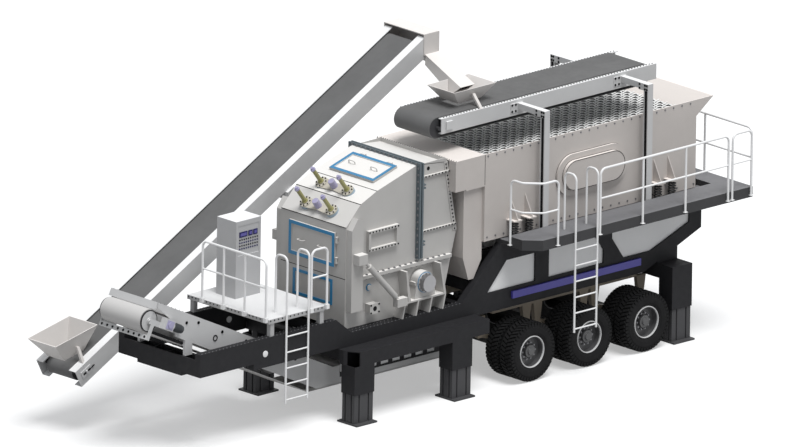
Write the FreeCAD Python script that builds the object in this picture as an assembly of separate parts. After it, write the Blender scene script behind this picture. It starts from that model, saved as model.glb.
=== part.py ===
import FreeCAD, Part
import math
import os

os.makedirs("parts", exist_ok=True)
V = FreeCAD.Vector

# Trailer-mounted impact crusher. Millimetres. X runs rearwards from the kingpin,
# Y towards the far side, and the heights named here are above the ground.

# Coupling
coupling_height = 1400.0
coupling_plate_thickness = 30.0
coupling_plate_half_width = 560.0
coupling_plate_end_x = 700.0
kingpin_radius = 25.4
kingpin_length = 84.0

# Chassis girders
chassis_half_width = 1040.0
girder_thickness = 140.0
nose_x = -350.0
nose_bottom = 1460.0
nose_top = 1880.0
girder_front_x = 950.0
girder_front_bottom = 1350.0
hump_end_x = 2940.0
drop_length = 380.0
girder_top = 1580.0
girder_bottom = 1290.0
incline_start_x = 5990.0
incline_length = 930.0
girder_rear_x = 11780.0
girder_rear_height = 650.0
tail_knee_x = 10400.0
deck_bottom = 2500.0
window_bottom = 1650.0
window_top = 2170.0
panel_thickness = 20.0
panel_recess = 35.0
side_strip_start_x = 7180.0
side_strip_length = 3110.0
side_strip_bottom = 1450.0
side_strip_height = 130.0
side_strip_depth = 45.0

# Cross members and front frame
cross_member_width = 150.0
cross_member_height = 200.0
front_beam_depth = 260.0
front_beam_height = 300.0
front_plate_thickness = 30.0
front_web_count = 4
bolster_x = 480.0
bolster_width = 140.0
bolster_height = 35.0

# Outriggers, legs and their sleeves
sill_front_x = 3020.0
sill_rear_x = 6300.0
sill_edge = 45.0
sill_bottom = 1070.0
sill_top = 1330.0
sill_chamfer_x = 156.0
sill_chamfer_y = 270.0
outrigger_width = 260.0
leg_front_x = 3280.0
leg_middle_x = 5650.0
leg_rear_x = 10970.0
rear_beam_bottom = 1130.0
rear_beam_height = 260.0
sleeve_length_x = 480.0
sleeve_width_y = 340.0
sill_outer_half_width = chassis_half_width + sleeve_width_y + sill_edge
sleeve_wall = 15.0
sleeve_drop = 520.0
sleeve_roof = 15.0
leg_clearance = 0.3
leg_top = 900.0
leg_flute_width = 34.0
leg_flute_depth = 22.0
foot_size = 500.0
foot_thickness = 30.0

# Wheels and suspension
axle_x = (7300.0, 8685.0, 10070.0)
tyre_radius = 540.0
tyre_width = 310.0
dual_gap = 50.0
tyre_outer_half_track = 1500.0
rim_radius = 285.0
rim_bead_clearance = 0.3
rim_thickness = 14.0
disc_inset = 150.0
hub_radius = 110.0
hub_length = 150.0
axle_size = 150.0
spindle_radius = 45.0
spindle_clearance = 0.05
rail_half_width = 760.0
rail_width = 120.0
rail_height = 160.0
rail_front_x = 7000.0
rail_rear_x = 10500.0
leaf_half_length = 560.0
leaf_thickness = 75.0
leaf_width = 80.0
leaf_rise = 110.0
hanger_width = 110.0

# Crusher housing
crusher_half_width = 820.0
crusher_wall = 30.0
crusher_front_x = 3350.0
rotor_rise = 560.0
housing_joint_rise = 350.0
brow_front_rise = 950.0
brow_run = 350.0
brow_rise = 360.0
shoulder_run = 390.0
shoulder_rise = 170.0
roof_rise = 280.0
flange_x = 5040.0
flange_length = 100.0
flange_overhang = 95.0
rear_top_x = 5790.0
rear_top_rise = 1290.0
rear_belly_x = 6030.0
rear_belly_rise = 400.0
base_rear_x = 5690.0
joint_flange_height = 60.0
joint_flange_overhang = 70.0
pillar_length = 280.0
pillar_width = 140.0
pillar_drop = 590.0
pillar_rise = 160.0
feed_opening_low_margin = 160.0
feed_opening_high_margin = 100.0
feed_opening_half_width = 690.0
door_width = 1160.0
door_height = 620.0
door_rise = 20.0
door_thickness = 40.0
door_frame_width = 70.0
door_gap = 6.0
hatch_width = 1120.0
hatch_length = 600.0
hatch_margin = 170.0
side_hatch_x = 4215.0
side_hatch_rise = 605.0
side_hatch_length = 730.0
side_hatch_width = 380.0
base_rib_count = 4
base_rib_thickness = 30.0
shelf_drop = 270.0
shelf_front_x = 4600.0
shelf_rear_x = 5600.0
shelf_depth = 220.0

# Rotor and bearings
rotor_x = 5120.0
rotor_radius = 450.0
rotor_half_width = 740.0
rotor_disc_count = 5
rotor_disc_thickness = 60.0
blow_bar_count = 4
blow_bar_reach = 70.0
blow_bar_thickness = 90.0
blow_bar_depth = 230.0
shaft_radius = 90.0
shaft_clearance = 0.05
bearing_half_height = 200.0
bearing_length = 170.0
bearing_gap = 30.0
shaft_cap_radius = 150.0
shaft_cap_length = 90.0

# Screen
screen_half_width = 1010.0
screen_wall = 20.0
screen_front_x = 6530.0
screen_rear_x = 11650.0
screen_bottom_rise = 100.0
screen_deck_rise = 1460.0
screen_rim_rise = 240.0
screen_deck_thickness = 40.0
screen_lip_run = 410.0
screen_lip_drop = 60.0
chute_front_x = 5820.0
chute_box_drop = 320.0
chute_leg_x = 6080.0
chute_leg_bottom = 1950.0
exciter_x = 9100.0
exciter_drop = 530.0
exciter_length = 1700.0
exciter_width = 760.0
exciter_depth = 110.0
spring_pairs_x = (7160.0, 7510.0, 10630.0, 10970.0)
spring_radius = 75.0
spring_wire = 26.0
spring_turns = 5
spring_length = 310.0
spring_line = 1130.0
spring_bracket_height = 420.0

# Upper walkway
deck_front_x = 6900.0
deck_rear_x = 12240.0
deck_inner_half_width = 1250.0
deck_walk_width = 600.0
deck_depth = 190.0
deck_shelf_depth = 80.0
deck_corner = 260.0
rail_post_radius = 21.0
railing_height = 1050.0

# Lower platform, cabinet and ladders
platform_rise = 320.0
platform_depth = 80.0
platform_front_x = 1300.0
platform_rear_x = 2720.0
platform_half_width = 1040.0
cabinet_x = 1730.0
cabinet_y = 270.0
cabinet_length_x = 600.0
cabinet_width_y = 490.0
cabinet_height = 1410.0
ladder_width = 530.0
ladder_tube_radius = 20.0
rung_spacing = 290.0

# Main conveyor
main_half_width = 600.0
main_plate_thickness = 12.0
main_plate_height = 460.0
main_angle = 25.3
main_head_x = -970.0
main_head_top = 2870.0
main_knee_x = 3300.0
main_tail_x = 6300.0
main_belt_half_width = 500.0
main_drum_radius = 195.0
belt_thickness = 14.0

# Return conveyor
return_near_y = 1350.0
return_width = 1000.0
return_angle = 28.2
return_tail_x = -930.0
return_tail_bottom = 870.0
return_length = 9500.0
return_channel_height = 340.0
return_channel_width = 170.0
return_belt_width = 640.0
return_drum_radius = 143.0

# Top conveyor
top_front_x = 5910.0
top_rear_x = 11120.0
top_conveyor_rise = 380.0
top_channel_height = 280.0
top_half_width = 530.0
top_channel_width = 80.0
top_belt_half_width = 445.0
top_drum_radius = 180.0
portal_x = (7800.0, 10300.0)
portal_half_width = 1190.0
portal_post = 110.0
portal_overlap = 220.0
top_hopper_x = 6890.0


# Heights and widths that follow from the sizes above

screen_bottom = deck_bottom + screen_bottom_rise
screen_deck_height = deck_bottom + screen_deck_rise
screen_top = screen_deck_height + screen_rim_rise
screen_lip_bottom = screen_deck_height - screen_lip_drop
chute_box_bottom = screen_deck_height - chute_box_drop
exciter_height = screen_deck_height - exciter_drop
deck_outer_half_width = deck_inner_half_width + deck_walk_width
top_channel_bottom = screen_top + top_conveyor_rise
portal_top = top_channel_bottom + portal_overlap

# Shape helpers

def box(x0, x1, y0, y1, z0, z1):
    return Part.makeBox(x1 - x0, y1 - y0, z1 - z0, V(x0, y0, z0))


def prism_y(outline, y0, y1):
    """Extrude an X, Z outline along Y."""
    points = [V(x, y0, z) for x, z in outline]
    return Part.Face(Part.makePolygon(points + points[:1])).extrude(V(0, y1 - y0, 0))


def prism_x(outline, x0, x1):
    """Extrude a Y, Z outline along X."""
    points = [V(x0, y, z) for y, z in outline]
    return Part.Face(Part.makePolygon(points + points[:1])).extrude(V(x1 - x0, 0, 0))


def prism_z(outline, z0, z1):
    """Extrude an X, Y outline upwards."""
    points = [V(x, y, z0) for x, y in outline]
    return Part.Face(Part.makePolygon(points + points[:1])).extrude(V(0, 0, z1 - z0))


def bar(start, end, radius):
    """A round bar between two points."""
    return Part.makeCylinder(radius, (end - start).Length, start, end - start)


def disc_y(x, z, radius, y0, y1):
    """A round disc on an axis along Y."""
    return Part.makeCylinder(radius, y1 - y0, V(x, y0, z), V(0, 1, 0))


def revolve_y(x, z, profile):
    """Turn a closed radius, Y profile about an axis along Y through x, z."""
    points = [V(x, y, z + radius) for radius, y in profile]
    face = Part.Face(Part.makePolygon(points + points[:1]))
    return face.revolve(V(x, 0, z), V(0, 1, 0), 360)


def fuse(shapes):
    """Join touching or overlapping shapes into one."""
    first, rest = shapes[0], shapes[1:]
    return first.fuse(rest).removeSplitter() if rest else first


def mirror(shape):
    """The same shape on the other side of the centre plane."""
    return shape.mirror(V(0, 0, 0), V(0, 1, 0))


def both_sides(shapes):
    """Near-side shapes with their far-side mirror images."""
    return shapes + [mirror(shape) for shape in shapes]


def stadium(x, z, length, width, y0, y1):
    """A round-ended plate that lies along X and is thick along Y."""
    radius = width / 2
    reach = length / 2 - radius
    ends = [disc_y(x + side * reach, z, radius, y0, y1) for side in (-1, 1)]
    return fuse([box(x - reach, x + reach, y0, y1, z - radius, z + radius)] + ends)


def bent_tube(points, radius, bend):
    """A round rod through points, bent to one radius at each corner."""
    edges = []
    start = points[0]
    for before, corner, after in zip(points[:-2], points[1:-1], points[2:]):
        back = (before - corner).normalize()
        ahead = (after - corner).normalize()
        half = back.getAngle(ahead) / 2
        reach = bend / math.tan(half)
        middle = corner + (back + ahead).normalize() * (bend / math.sin(half) - bend)
        edges.append(Part.makeLine(start, corner + back * reach))
        edges.append(Part.Arc(corner + back * reach, middle, corner + ahead * reach).toShape())
        start = corner + ahead * reach
    edges.append(Part.makeLine(start, points[-1]))
    section = Part.Wire(Part.makeCircle(radius, points[0], points[1] - points[0]))
    return Part.Wire(edges).makePipeShell([section], True, False)


nodes = {}


def node(name, shapes):
    """Keep the solids of one named piece."""
    nodes[name] = shapes


# Girders with three windows each, panels and side strips

hump_x = hump_end_x
drop_x = hump_end_x + drop_length
incline_end_x = incline_start_x + incline_length
girder_inner = chassis_half_width - girder_thickness
tail_rise = deck_bottom - girder_rear_height
girder_outline = [
    (nose_x, nose_bottom), (nose_x, nose_top), (hump_x, nose_top), (drop_x, girder_top),
    (incline_start_x, girder_top), (incline_end_x, deck_bottom), (girder_rear_x, deck_bottom),
    (girder_rear_x, tail_rise), (tail_knee_x, girder_bottom), (sill_front_x, girder_bottom),
    (sill_front_x, girder_front_bottom), (girder_front_x, girder_front_bottom),
    (girder_front_x, nose_bottom),
]
window_outlines = [
    [(6590, window_bottom), (7060, window_top), (7760, window_top), (7760, window_bottom)],
    [(8090, window_bottom), (8090, window_top), (9230, window_top), (9420, 1900), (9420, window_bottom)],
    [(9620, window_top), (9620, 2060), (9910, window_bottom), (10560, window_bottom),
     (11490, 2000), (11490, window_top)],
]


def girder(side):
    """One girder, cut through by its windows, on the near side (-1) or the far side (1)."""
    low, high = sorted((side * girder_inner, side * chassis_half_width))
    windows = [prism_y(outline, low, high) for outline in window_outlines]
    return prism_y(girder_outline, low, high).cut(windows)


near_girder = girder(-1)
far_girder = girder(1)
node("main_girders", [near_girder, far_girder])

panel_outer = -chassis_half_width + panel_recess
node("window_panels", both_sides([
    prism_y(outline, panel_outer, panel_outer + panel_thickness) for outline in window_outlines
]))
node("side_strips", both_sides([
    box(side_strip_start_x, side_strip_start_x + side_strip_length,
        -chassis_half_width - side_strip_depth, -chassis_half_width,
        side_strip_bottom, side_strip_bottom + side_strip_height)
]))

# Cross members between the girders

cross_x = [2600.0, 3450.0, 4150.0, 6100.0, 7225.0, 8610.0, 9995.0]


def cross_member(x, bottom):
    """A box beam across the chassis between the girders."""
    return box(x, x + cross_member_width, -girder_inner, girder_inner,
               bottom, bottom + cross_member_height)


base_rails = both_sides([
    box(crusher_front_x, base_rear_x, -girder_inner, -crusher_half_width + crusher_wall - 1,
        girder_bottom + cross_member_height, girder_top)
])
cradle = [fuse([cross_member(x, girder_bottom) for x in cross_x[1:3]] + base_rails)]
outrigger_beams = [
    box(x - outrigger_width / 2, x + outrigger_width / 2, -chassis_half_width, chassis_half_width,
        sill_bottom, girder_bottom)
    for x in (leg_front_x, leg_middle_x)
]
node("chassis_cross_members", [cross_member(cross_x[0], girder_front_bottom)] + cradle
     + [cross_member(x, girder_bottom) for x in cross_x[3:]]
     + [cross_member(girder_rear_x - 2 * cross_member_width, tail_rise)] + outrigger_beams)

# Front frame: a webbed double beam, a bolster and the coupling plate

front_inner = nose_x + front_beam_depth
front_beam_top = nose_bottom + front_beam_height
front_pieces = [
    box(x, x + front_plate_thickness, -girder_inner, girder_inner, nose_bottom, front_beam_top)
    for x in (nose_x, front_inner - front_plate_thickness)
]
web_pitch = 2 * girder_inner / (front_web_count + 1)
front_pieces += [
    box(nose_x, front_inner, y - front_plate_thickness / 2, y + front_plate_thickness / 2,
        nose_bottom, front_beam_top)
    for y in [-girder_inner + web_pitch * (k + 1) for k in range(front_web_count)]
]
front_pieces.append(box(nose_x, front_inner, -girder_inner, girder_inner,
                        nose_bottom, nose_bottom + front_plate_thickness))
plate_top = coupling_height + coupling_plate_thickness
node("front_frame", [fuse(front_pieces + [
    box(nose_x, coupling_plate_end_x, -coupling_plate_half_width, coupling_plate_half_width,
        coupling_height, plate_top),
    box(bolster_x, bolster_x + bolster_width, -girder_inner, girder_inner,
        plate_top, plate_top + bolster_height),
    box(nose_x, front_inner, -coupling_plate_half_width, coupling_plate_half_width,
        plate_top, nose_bottom),
    bar(V(0, 0, coupling_height), V(0, 0, coupling_height - kingpin_length), kingpin_radius),
])])

# Outriggers: two sills joined by cross beams, with pockets for the legs

leg_y = sill_outer_half_width - sleeve_width_y / 2
sleeve_inner_x = sleeve_length_x - 2 * sleeve_wall
sleeve_inner_y = sleeve_width_y - 2 * sleeve_wall


def leg_pocket(x, bottom, top):
    """The space that one near-side leg slides in."""
    return box(x - sleeve_inner_x / 2, x + sleeve_inner_x / 2,
               -leg_y - sleeve_inner_y / 2, -leg_y + sleeve_inner_y / 2, bottom, top)


def leg_sleeve(x, top):
    """A rectangular tube below a beam, round a near-side leg."""
    bottom = top - sleeve_drop
    outside = box(x - sleeve_length_x / 2, x + sleeve_length_x / 2,
                  -leg_y - sleeve_width_y / 2, -leg_y + sleeve_width_y / 2, bottom, top)
    return outside.cut(leg_pocket(x, bottom, top))


sill_outline = [
    (sill_front_x + sill_chamfer_x, -sill_outer_half_width), (sill_rear_x, -sill_outer_half_width),
    (sill_rear_x, -chassis_half_width), (sill_front_x, -chassis_half_width),
    (sill_front_x, -sill_outer_half_width + sill_chamfer_y),
]
sill_pockets = [leg_pocket(x, sill_bottom, sill_top - sleeve_roof) for x in (leg_front_x, leg_middle_x)]
near_sill = prism_z(sill_outline, sill_bottom, sill_top).cut(sill_pockets)
node("outrigger_sills", both_sides([near_sill]))
sleeves = [leg_sleeve(x, sill_bottom) for x in (leg_front_x, leg_middle_x)]
node("leg_sleeves", both_sides(sleeves + [leg_sleeve(leg_rear_x, rear_beam_bottom)]))

# Rear beam on two saddles below the girders

rear_beam_top = rear_beam_bottom + rear_beam_height
rear_half = sleeve_length_x / 2
rear_pockets = both_sides([leg_pocket(leg_rear_x, rear_beam_bottom, rear_beam_top - sleeve_roof)])
rear_beam = box(leg_rear_x - rear_half, leg_rear_x + rear_half,
                -sill_outer_half_width, sill_outer_half_width, rear_beam_bottom, rear_beam_top)
tail_slope = (tail_rise - girder_bottom) / (girder_rear_x - tail_knee_x)


def tail_underside(x):
    """Height of the girder's sloping underside behind the last axle."""
    return girder_bottom + (x - tail_knee_x) * tail_slope


saddle_front = leg_rear_x - rear_half
saddle_rear = leg_rear_x + rear_half
saddle = prism_y([
    (saddle_front, rear_beam_top), (saddle_front, tail_underside(saddle_front)),
    (saddle_rear, tail_underside(saddle_rear)), (saddle_rear, rear_beam_top),
], -chassis_half_width, -girder_inner)
node("rear_beam", [fuse([rear_beam.cut(rear_pockets)] + both_sides([saddle]))])

# Legs: a fluted column on a square foot

leg_half_x = sleeve_inner_x / 2 - leg_clearance
leg_half_y = sleeve_inner_y / 2 - leg_clearance


def leg(x, side):
    """One leg with two flutes down each face."""
    y = side * leg_y
    column = box(x - leg_half_x, x + leg_half_x, y - leg_half_y, y + leg_half_y,
                 foot_thickness, leg_top)
    flutes = []
    for dx in (-leg_half_x / 2, leg_half_x / 2):
        for face in (-1, 1):
            yc = y + face * leg_half_y
            flutes.append(box(x + dx - leg_flute_width / 2, x + dx + leg_flute_width / 2,
                              yc - leg_flute_depth, yc + leg_flute_depth, foot_thickness, leg_top))
    for dy in (-leg_half_y / 2, leg_half_y / 2):
        for face in (-1, 1):
            xc = x + face * leg_half_x
            flutes.append(box(xc - leg_flute_depth, xc + leg_flute_depth,
                              y + dy - leg_flute_width / 2, y + dy + leg_flute_width / 2,
                              foot_thickness, leg_top))
    foot = box(x - foot_size / 2, x + foot_size / 2, y - foot_size / 2, y + foot_size / 2,
               0, foot_thickness)
    return fuse([column.cut(flutes), foot])


for place, x in (("front", leg_front_x), ("middle", leg_middle_x), ("rear", leg_rear_x)):
    for side_name, side in (("near", -1), ("far", 1)):
        node("leg_" + place + "_" + side_name, [leg(x, side)])

# Wheels: two tyres on one rim, turning on a spindle

tread_edge = 60.0
sidewall_edge = 0.91 * tyre_radius
bead_inset = 35.0


def tyre(x, side, outer):
    """One tyre whose outer sidewall is at the half track named by outer."""
    bead = rim_radius + rim_bead_clearance
    inner = outer - tyre_width
    half = [(bead, outer - bead_inset), (0.62 * tyre_radius, outer - 8), (0.8 * tyre_radius, outer),
            (sidewall_edge, outer - 4), (tyre_radius - 8, outer - 0.6 * tread_edge),
            (tyre_radius, outer - tread_edge)]
    other = [(radius, outer + inner - y) for radius, y in reversed(half)]
    profile = [(radius, side * y) for radius, y in half + other]
    return revolve_y(x, tyre_radius, profile)


def wheel(x, side):
    """The rim, disc and hub that carry one pair of tyres, with a blind bore for the spindle."""
    outer = tyre_outer_half_track
    inner = outer - 2 * tyre_width - dual_gap
    disc = outer - disc_inset
    bore = spindle_radius + spindle_clearance
    profile = [
        (0, outer - 45), (60, outer - 45), (72, outer - 72), (hub_radius, outer - 76),
        (hub_radius, disc), (rim_radius - rim_thickness, disc), (rim_radius - rim_thickness, outer - 25),
        (rim_radius, outer - 25), (rim_radius, inner + 25), (rim_radius - rim_thickness, inner + 25),
        (rim_radius - rim_thickness, disc - 20), (hub_radius, disc - 20),
        (hub_radius, inner + hub_length), (bore, inner + hub_length),
        (bore, outer - 80), (0, outer - 80),
    ]
    return revolve_y(x, tyre_radius, [(radius, side * y) for radius, y in profile])


for number, x in enumerate(axle_x, 1):
    for side_name, side in (("near", -1), ("far", 1)):
        second = tyre_outer_half_track - tyre_width - dual_gap
        tag = str(number) + "_" + side_name
        node("tyres_" + tag, [tyre(x, side, tyre_outer_half_track), tyre(x, side, second)])
        node("wheel_" + tag, [wheel(x, side)])

# Axles on leaf springs below two rails

axle_end = tyre_outer_half_track - 2 * tyre_width - dual_gap + hub_length - 20
spindle_end = tyre_outer_half_track - 85
axle_top = tyre_radius + axle_size / 2


def axle(x):
    """A square beam with a round spindle at each end."""
    beam = box(x - axle_size / 2, x + axle_size / 2, -axle_end, axle_end,
               tyre_radius - axle_size / 2, axle_top)
    return fuse([beam, disc_y(x, tyre_radius, spindle_radius, -spindle_end, spindle_end)])


node("axles", [axle(x) for x in axle_x])

rail_inner = rail_half_width - rail_width
leaf_mid = rail_half_width - rail_width / 2
leaf_seat = 25.0


def leaf_pack(x):
    """A curved leaf spring that rests on the axle on a seat block."""
    low = axle_top + leaf_seat
    ends = [(x - leaf_half_length, low + leaf_rise), (x + leaf_half_length, low + leaf_rise)]
    y = -leaf_mid - leaf_width / 2
    a, b = [V(px, y, pz) for px, pz in ends]
    up = V(0, 0, leaf_thickness)
    edges = [
        Part.Arc(a, V(x, y, low), b).toShape(), Part.LineSegment(b, b + up).toShape(),
        Part.Arc(b + up, V(x, y, low) + up, a + up).toShape(), Part.LineSegment(a + up, a).toShape(),
    ]
    spring = Part.Face(Part.Wire(edges)).extrude(V(0, leaf_width, 0))
    seat = box(x - hanger_width, x + hanger_width, y, y + leaf_width, axle_top, low + leaf_seat)
    return [spring, seat]


suspension = [box(rail_front_x, rail_rear_x, -rail_half_width, -rail_inner,
                  girder_bottom - rail_height, girder_bottom)]
for x in axle_x:
    suspension += leaf_pack(x)
    for end in (x - leaf_half_length, x + leaf_half_length):
        suspension.append(prism_y([
            (end - hanger_width / 2, axle_top + leaf_rise + 10),
            (end + hanger_width / 2, axle_top + leaf_rise + 10),
            (end + hanger_width, girder_bottom - rail_height),
            (end - hanger_width, girder_bottom - rail_height),
        ], -leaf_mid - leaf_width / 2, -leaf_mid + leaf_width / 2))
node("suspension", both_sides([fuse(suspension)]))

# Crusher housing: plates between two side walls, mitred where they meet

rotor_height = girder_top + rotor_rise
housing_joint = rotor_height + housing_joint_rise
brow_height = housing_joint + brow_front_rise
rear_belly_height = housing_joint + rear_belly_rise
rear_top_height = rear_belly_height + rear_top_rise
pillar_bottom = housing_joint - pillar_drop
pillar_top = brow_height + pillar_rise
door_centre_height = 0.5 * (housing_joint + brow_height) + door_rise
side_hatch_height = housing_joint + side_hatch_rise
shelf_height = rotor_height - shelf_drop
brow_x = crusher_front_x + brow_run
shoulder_x = brow_x + shoulder_run
brow_top = brow_height + brow_rise
shoulder_top = brow_top + shoulder_rise
roof_top = shoulder_top + roof_rise
flange_end_x = flange_x + flange_length
belly_slope = (rear_belly_x - base_rear_x) / (rear_belly_height - girder_top)
joint_rear_x = rear_belly_x - (rear_belly_height - housing_joint) * belly_slope
housing_line = [
    (crusher_front_x, housing_joint), (crusher_front_x, brow_height), (brow_x, brow_top),
    (shoulder_x, shoulder_top), (flange_x, roof_top), (flange_end_x, roof_top),
    (rear_top_x, rear_top_height), (rear_belly_x, rear_belly_height), (joint_rear_x, housing_joint),
]
wall_inner = crusher_half_width - crusher_wall


def inset_line(line, distance):
    """Move an open X, Z line to its right by a distance, with mitred corners."""
    moved = []
    for k, (x, z) in enumerate(line):
        before = line[max(k - 1, 0)]
        after = line[min(k + 1, len(line) - 1)]
        first = math.atan2(z - before[1], x - before[0]) if k else None
        second = math.atan2(after[1] - z, after[0] - x) if k < len(line) - 1 else None
        first = second if first is None else first
        second = first if second is None else second
        middle = (first + second) / 2
        reach = distance / math.cos((second - first) / 2)
        moved.append((x + reach * math.sin(middle), z - reach * math.cos(middle)))
    return moved


housing_inner = inset_line(housing_line, crusher_wall)
housing_inner[0] = (crusher_front_x + crusher_wall, housing_joint)
housing_inner[-1] = (joint_rear_x - crusher_wall, housing_joint)


def housing_plate(k):
    """The plate between two corners of the housing line."""
    outline = [housing_line[k], housing_line[k + 1], housing_inner[k + 1], housing_inner[k]]
    return prism_y(outline, -wall_inner, wall_inner)


# Front plate with its door opening and hinge pins

door_opening_half = door_width / 2 - door_frame_width
door_opening_low = door_centre_height - door_height / 2 + door_frame_width
door_opening_high = door_centre_height + door_height / 2 - door_frame_width
front_opening = box(crusher_front_x - crusher_wall, crusher_front_x + 2 * crusher_wall,
                    -door_opening_half, door_opening_half, door_opening_low, door_opening_high)
hinge_pin_radius = 10.0
hinge_clearance = 0.05
knuckle_radius = 20.0
knuckle_length = 70.0
lug_height = 22.0
lug_gap = 1.0
hinge_reach = 14.0
door_face_x = crusher_front_x - door_gap
hinge_x = crusher_front_x - door_gap - door_thickness / 2
hinge_y = -door_width / 2 - knuckle_radius - hinge_reach
hinge_heights = [door_centre_height + side * 0.3 * door_height for side in (-1, 1)]


def hinge_lugs(z):
    """Two lugs on the front plate that hold an upright pin."""
    reach = knuckle_length / 2 + lug_gap
    pieces = [bar(V(hinge_x, hinge_y, z - reach - lug_height), V(hinge_x, hinge_y, z + reach + lug_height),
                  hinge_pin_radius)]
    for low in (z - reach - lug_height, z + reach):
        pieces.append(box(hinge_x - knuckle_radius, crusher_front_x, hinge_y - knuckle_radius,
                          hinge_y + knuckle_radius, low, low + lug_height))
    return pieces


front_plate = housing_plate(0).cut(front_opening)
node("crusher_front", [fuse([front_plate] + [p for z in hinge_heights for p in hinge_lugs(z)])])


def door_knuckle(z):
    """A tube round the hinge pin with an arm to the door's edge."""
    low = V(hinge_x, hinge_y, z - knuckle_length / 2)
    high = V(hinge_x, hinge_y, z + knuckle_length / 2)
    arm = box(hinge_x - 10, hinge_x + 10, hinge_y, -door_width / 2 + 10, low.z, high.z)
    return fuse([bar(low, high, knuckle_radius), arm]).cut(
        bar(low, high, hinge_pin_radius + hinge_clearance))


def bow_handle(start, end, out, radius):
    """A bent round handle that stands out of a surface."""
    return bent_tube([start, start + out, end + out, end], radius, 3 * radius)


handle_reach = 70.0
handle_length = 150.0
handle_radius = 9.0
door_outer_x = door_face_x - door_thickness
door_panel = box(door_outer_x, door_face_x, -door_width / 2, door_width / 2,
                 door_centre_height - door_height / 2, door_centre_height + door_height / 2)
door_recess = box(door_outer_x, door_outer_x + door_thickness / 3, -door_opening_half, door_opening_half,
                  door_opening_low, door_opening_high)
door_handles = [
    bow_handle(V(door_outer_x + door_thickness / 2, y - handle_length / 2, door_centre_height),
               V(door_outer_x + door_thickness / 2, y + handle_length / 2, door_centre_height),
               V(-handle_reach, 0, 0), handle_radius)
    for y in (-0.5 * door_opening_half, 0.5 * door_opening_half)
]
node("front_door", [fuse([door_panel.cut(door_recess)] + door_handles
                         + [door_knuckle(z) for z in hinge_heights])])

# Roof plates and the roof hatch, laid out along the slope

roof_angle = math.degrees(math.atan2(roof_rise, flange_x - shoulder_x))


def on_roof(shape):
    """Place a shape drawn flat at the origin on the sloping roof plate."""
    placed = shape.copy()
    placed.rotate(V(0, 0, 0), V(0, 1, 0), -roof_angle)
    placed.translate(V(shoulder_x, 0, shoulder_top))
    return placed


hatch_end = hatch_margin + hatch_length
hatch_half = hatch_width / 2
hatch_frame = door_frame_width
roof_opening = on_roof(box(hatch_margin + hatch_frame, hatch_end - hatch_frame, -hatch_half + hatch_frame,
                           hatch_half - hatch_frame, -2 * crusher_wall, crusher_wall))
hatch_pin_along = hatch_end + knuckle_radius + hinge_reach
hatch_pin_up = door_gap + door_thickness / 2
hatch_hinge_y = [side * 0.3 * hatch_width for side in (-1, 1)]


def roof_lugs(y):
    """Two lugs on the roof that hold a level pin, drawn flat."""
    reach = knuckle_length / 2 + lug_gap
    pieces = [bar(V(hatch_pin_along, y - reach - lug_height, hatch_pin_up),
                  V(hatch_pin_along, y + reach + lug_height, hatch_pin_up), hinge_pin_radius)]
    for low in (y - reach - lug_height, y + reach):
        pieces.append(box(hatch_pin_along - knuckle_radius, hatch_pin_along + knuckle_radius,
                          low, low + lug_height, 0, hatch_pin_up + knuckle_radius))
    return [on_roof(piece) for piece in pieces]


roof_plates = fuse([housing_plate(k) for k in (1, 2, 3, 4, 5)]).cut(roof_opening)
node("crusher_roof", [fuse([roof_plates] + [p for y in hatch_hinge_y for p in roof_lugs(y)])])

hatch_panel = box(hatch_margin, hatch_end, -hatch_half, hatch_half, door_gap, door_gap + door_thickness)
hatch_recess = box(hatch_margin + hatch_frame, hatch_end - hatch_frame, -hatch_half + hatch_frame,
                   hatch_half - hatch_frame, door_gap + door_thickness * 2 / 3, door_gap + door_thickness)
hatch_pieces = [hatch_panel.cut(hatch_recess)]
for y in hatch_hinge_y:
    low = V(hatch_pin_along, y - knuckle_length / 2, hatch_pin_up)
    high = V(hatch_pin_along, y + knuckle_length / 2, hatch_pin_up)
    arm = box(hatch_end - 10, hatch_pin_along, low.y, high.y, hatch_pin_up - 10, hatch_pin_up + 10)
    hatch_pieces.append(fuse([bar(low, high, knuckle_radius), arm]).cut(
        bar(low, high, hinge_pin_radius + hinge_clearance)))
for y in (-0.5 * hatch_half, 0.5 * hatch_half):
    middle = hatch_margin + hatch_length / 2
    top = door_gap + door_thickness / 2
    hatch_pieces.append(bow_handle(V(middle, y - handle_length / 2, top),
                                   V(middle, y + handle_length / 2, top),
                                   V(0, 0, handle_reach), handle_radius))
node("roof_hatch", [on_roof(fuse(hatch_pieces))])

# Back plates with the feed opening

feed_opening = box(rear_top_x - 2 * flange_length, rear_belly_x + flange_length, -feed_opening_half_width,
                   feed_opening_half_width, rear_belly_height + feed_opening_low_margin,
                   rear_top_height - feed_opening_high_margin)
node("crusher_back", [fuse([housing_plate(6), housing_plate(7)]).cut(feed_opening)])

# Side walls with stiffening flanges and side hatches

hatch_low = side_hatch_height - side_hatch_width / 2
hatch_high = side_hatch_height + side_hatch_width / 2
hatch_left = side_hatch_x - side_hatch_length / 2
hatch_right = side_hatch_x + side_hatch_length / 2
side_frame = 55.0
side_frame_depth = 70.0
rib_setback = 10.0


def near_side_wall():
    """The near wall plate with the raised frame of its side hatch and its rear ribs."""
    plate = prism_y(housing_line, -crusher_half_width, -wall_inner)
    frame = box(hatch_left, hatch_right, -crusher_half_width - side_frame_depth, -crusher_half_width,
                hatch_low, hatch_high)
    frame = frame.cut(box(hatch_left + side_frame, hatch_right - side_frame,
                          -crusher_half_width - side_frame_depth, -crusher_half_width - crusher_wall / 2,
                          hatch_low + side_frame, hatch_high - side_frame))
    ribs = []
    for z in (rear_top_height - 170, 0.5 * (rear_top_height + housing_joint) - 320):
        rear = rear_top_x + (rear_top_height - z) * (rear_belly_x - rear_top_x) / (
            rear_top_height - rear_belly_height)
        ribs.append(box(flange_end_x, rear - rib_setback, -crusher_half_width - joint_flange_overhang / 2,
                        -crusher_half_width, z - crusher_wall / 2, z + crusher_wall / 2))
    return fuse([plate, frame] + ribs)


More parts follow.
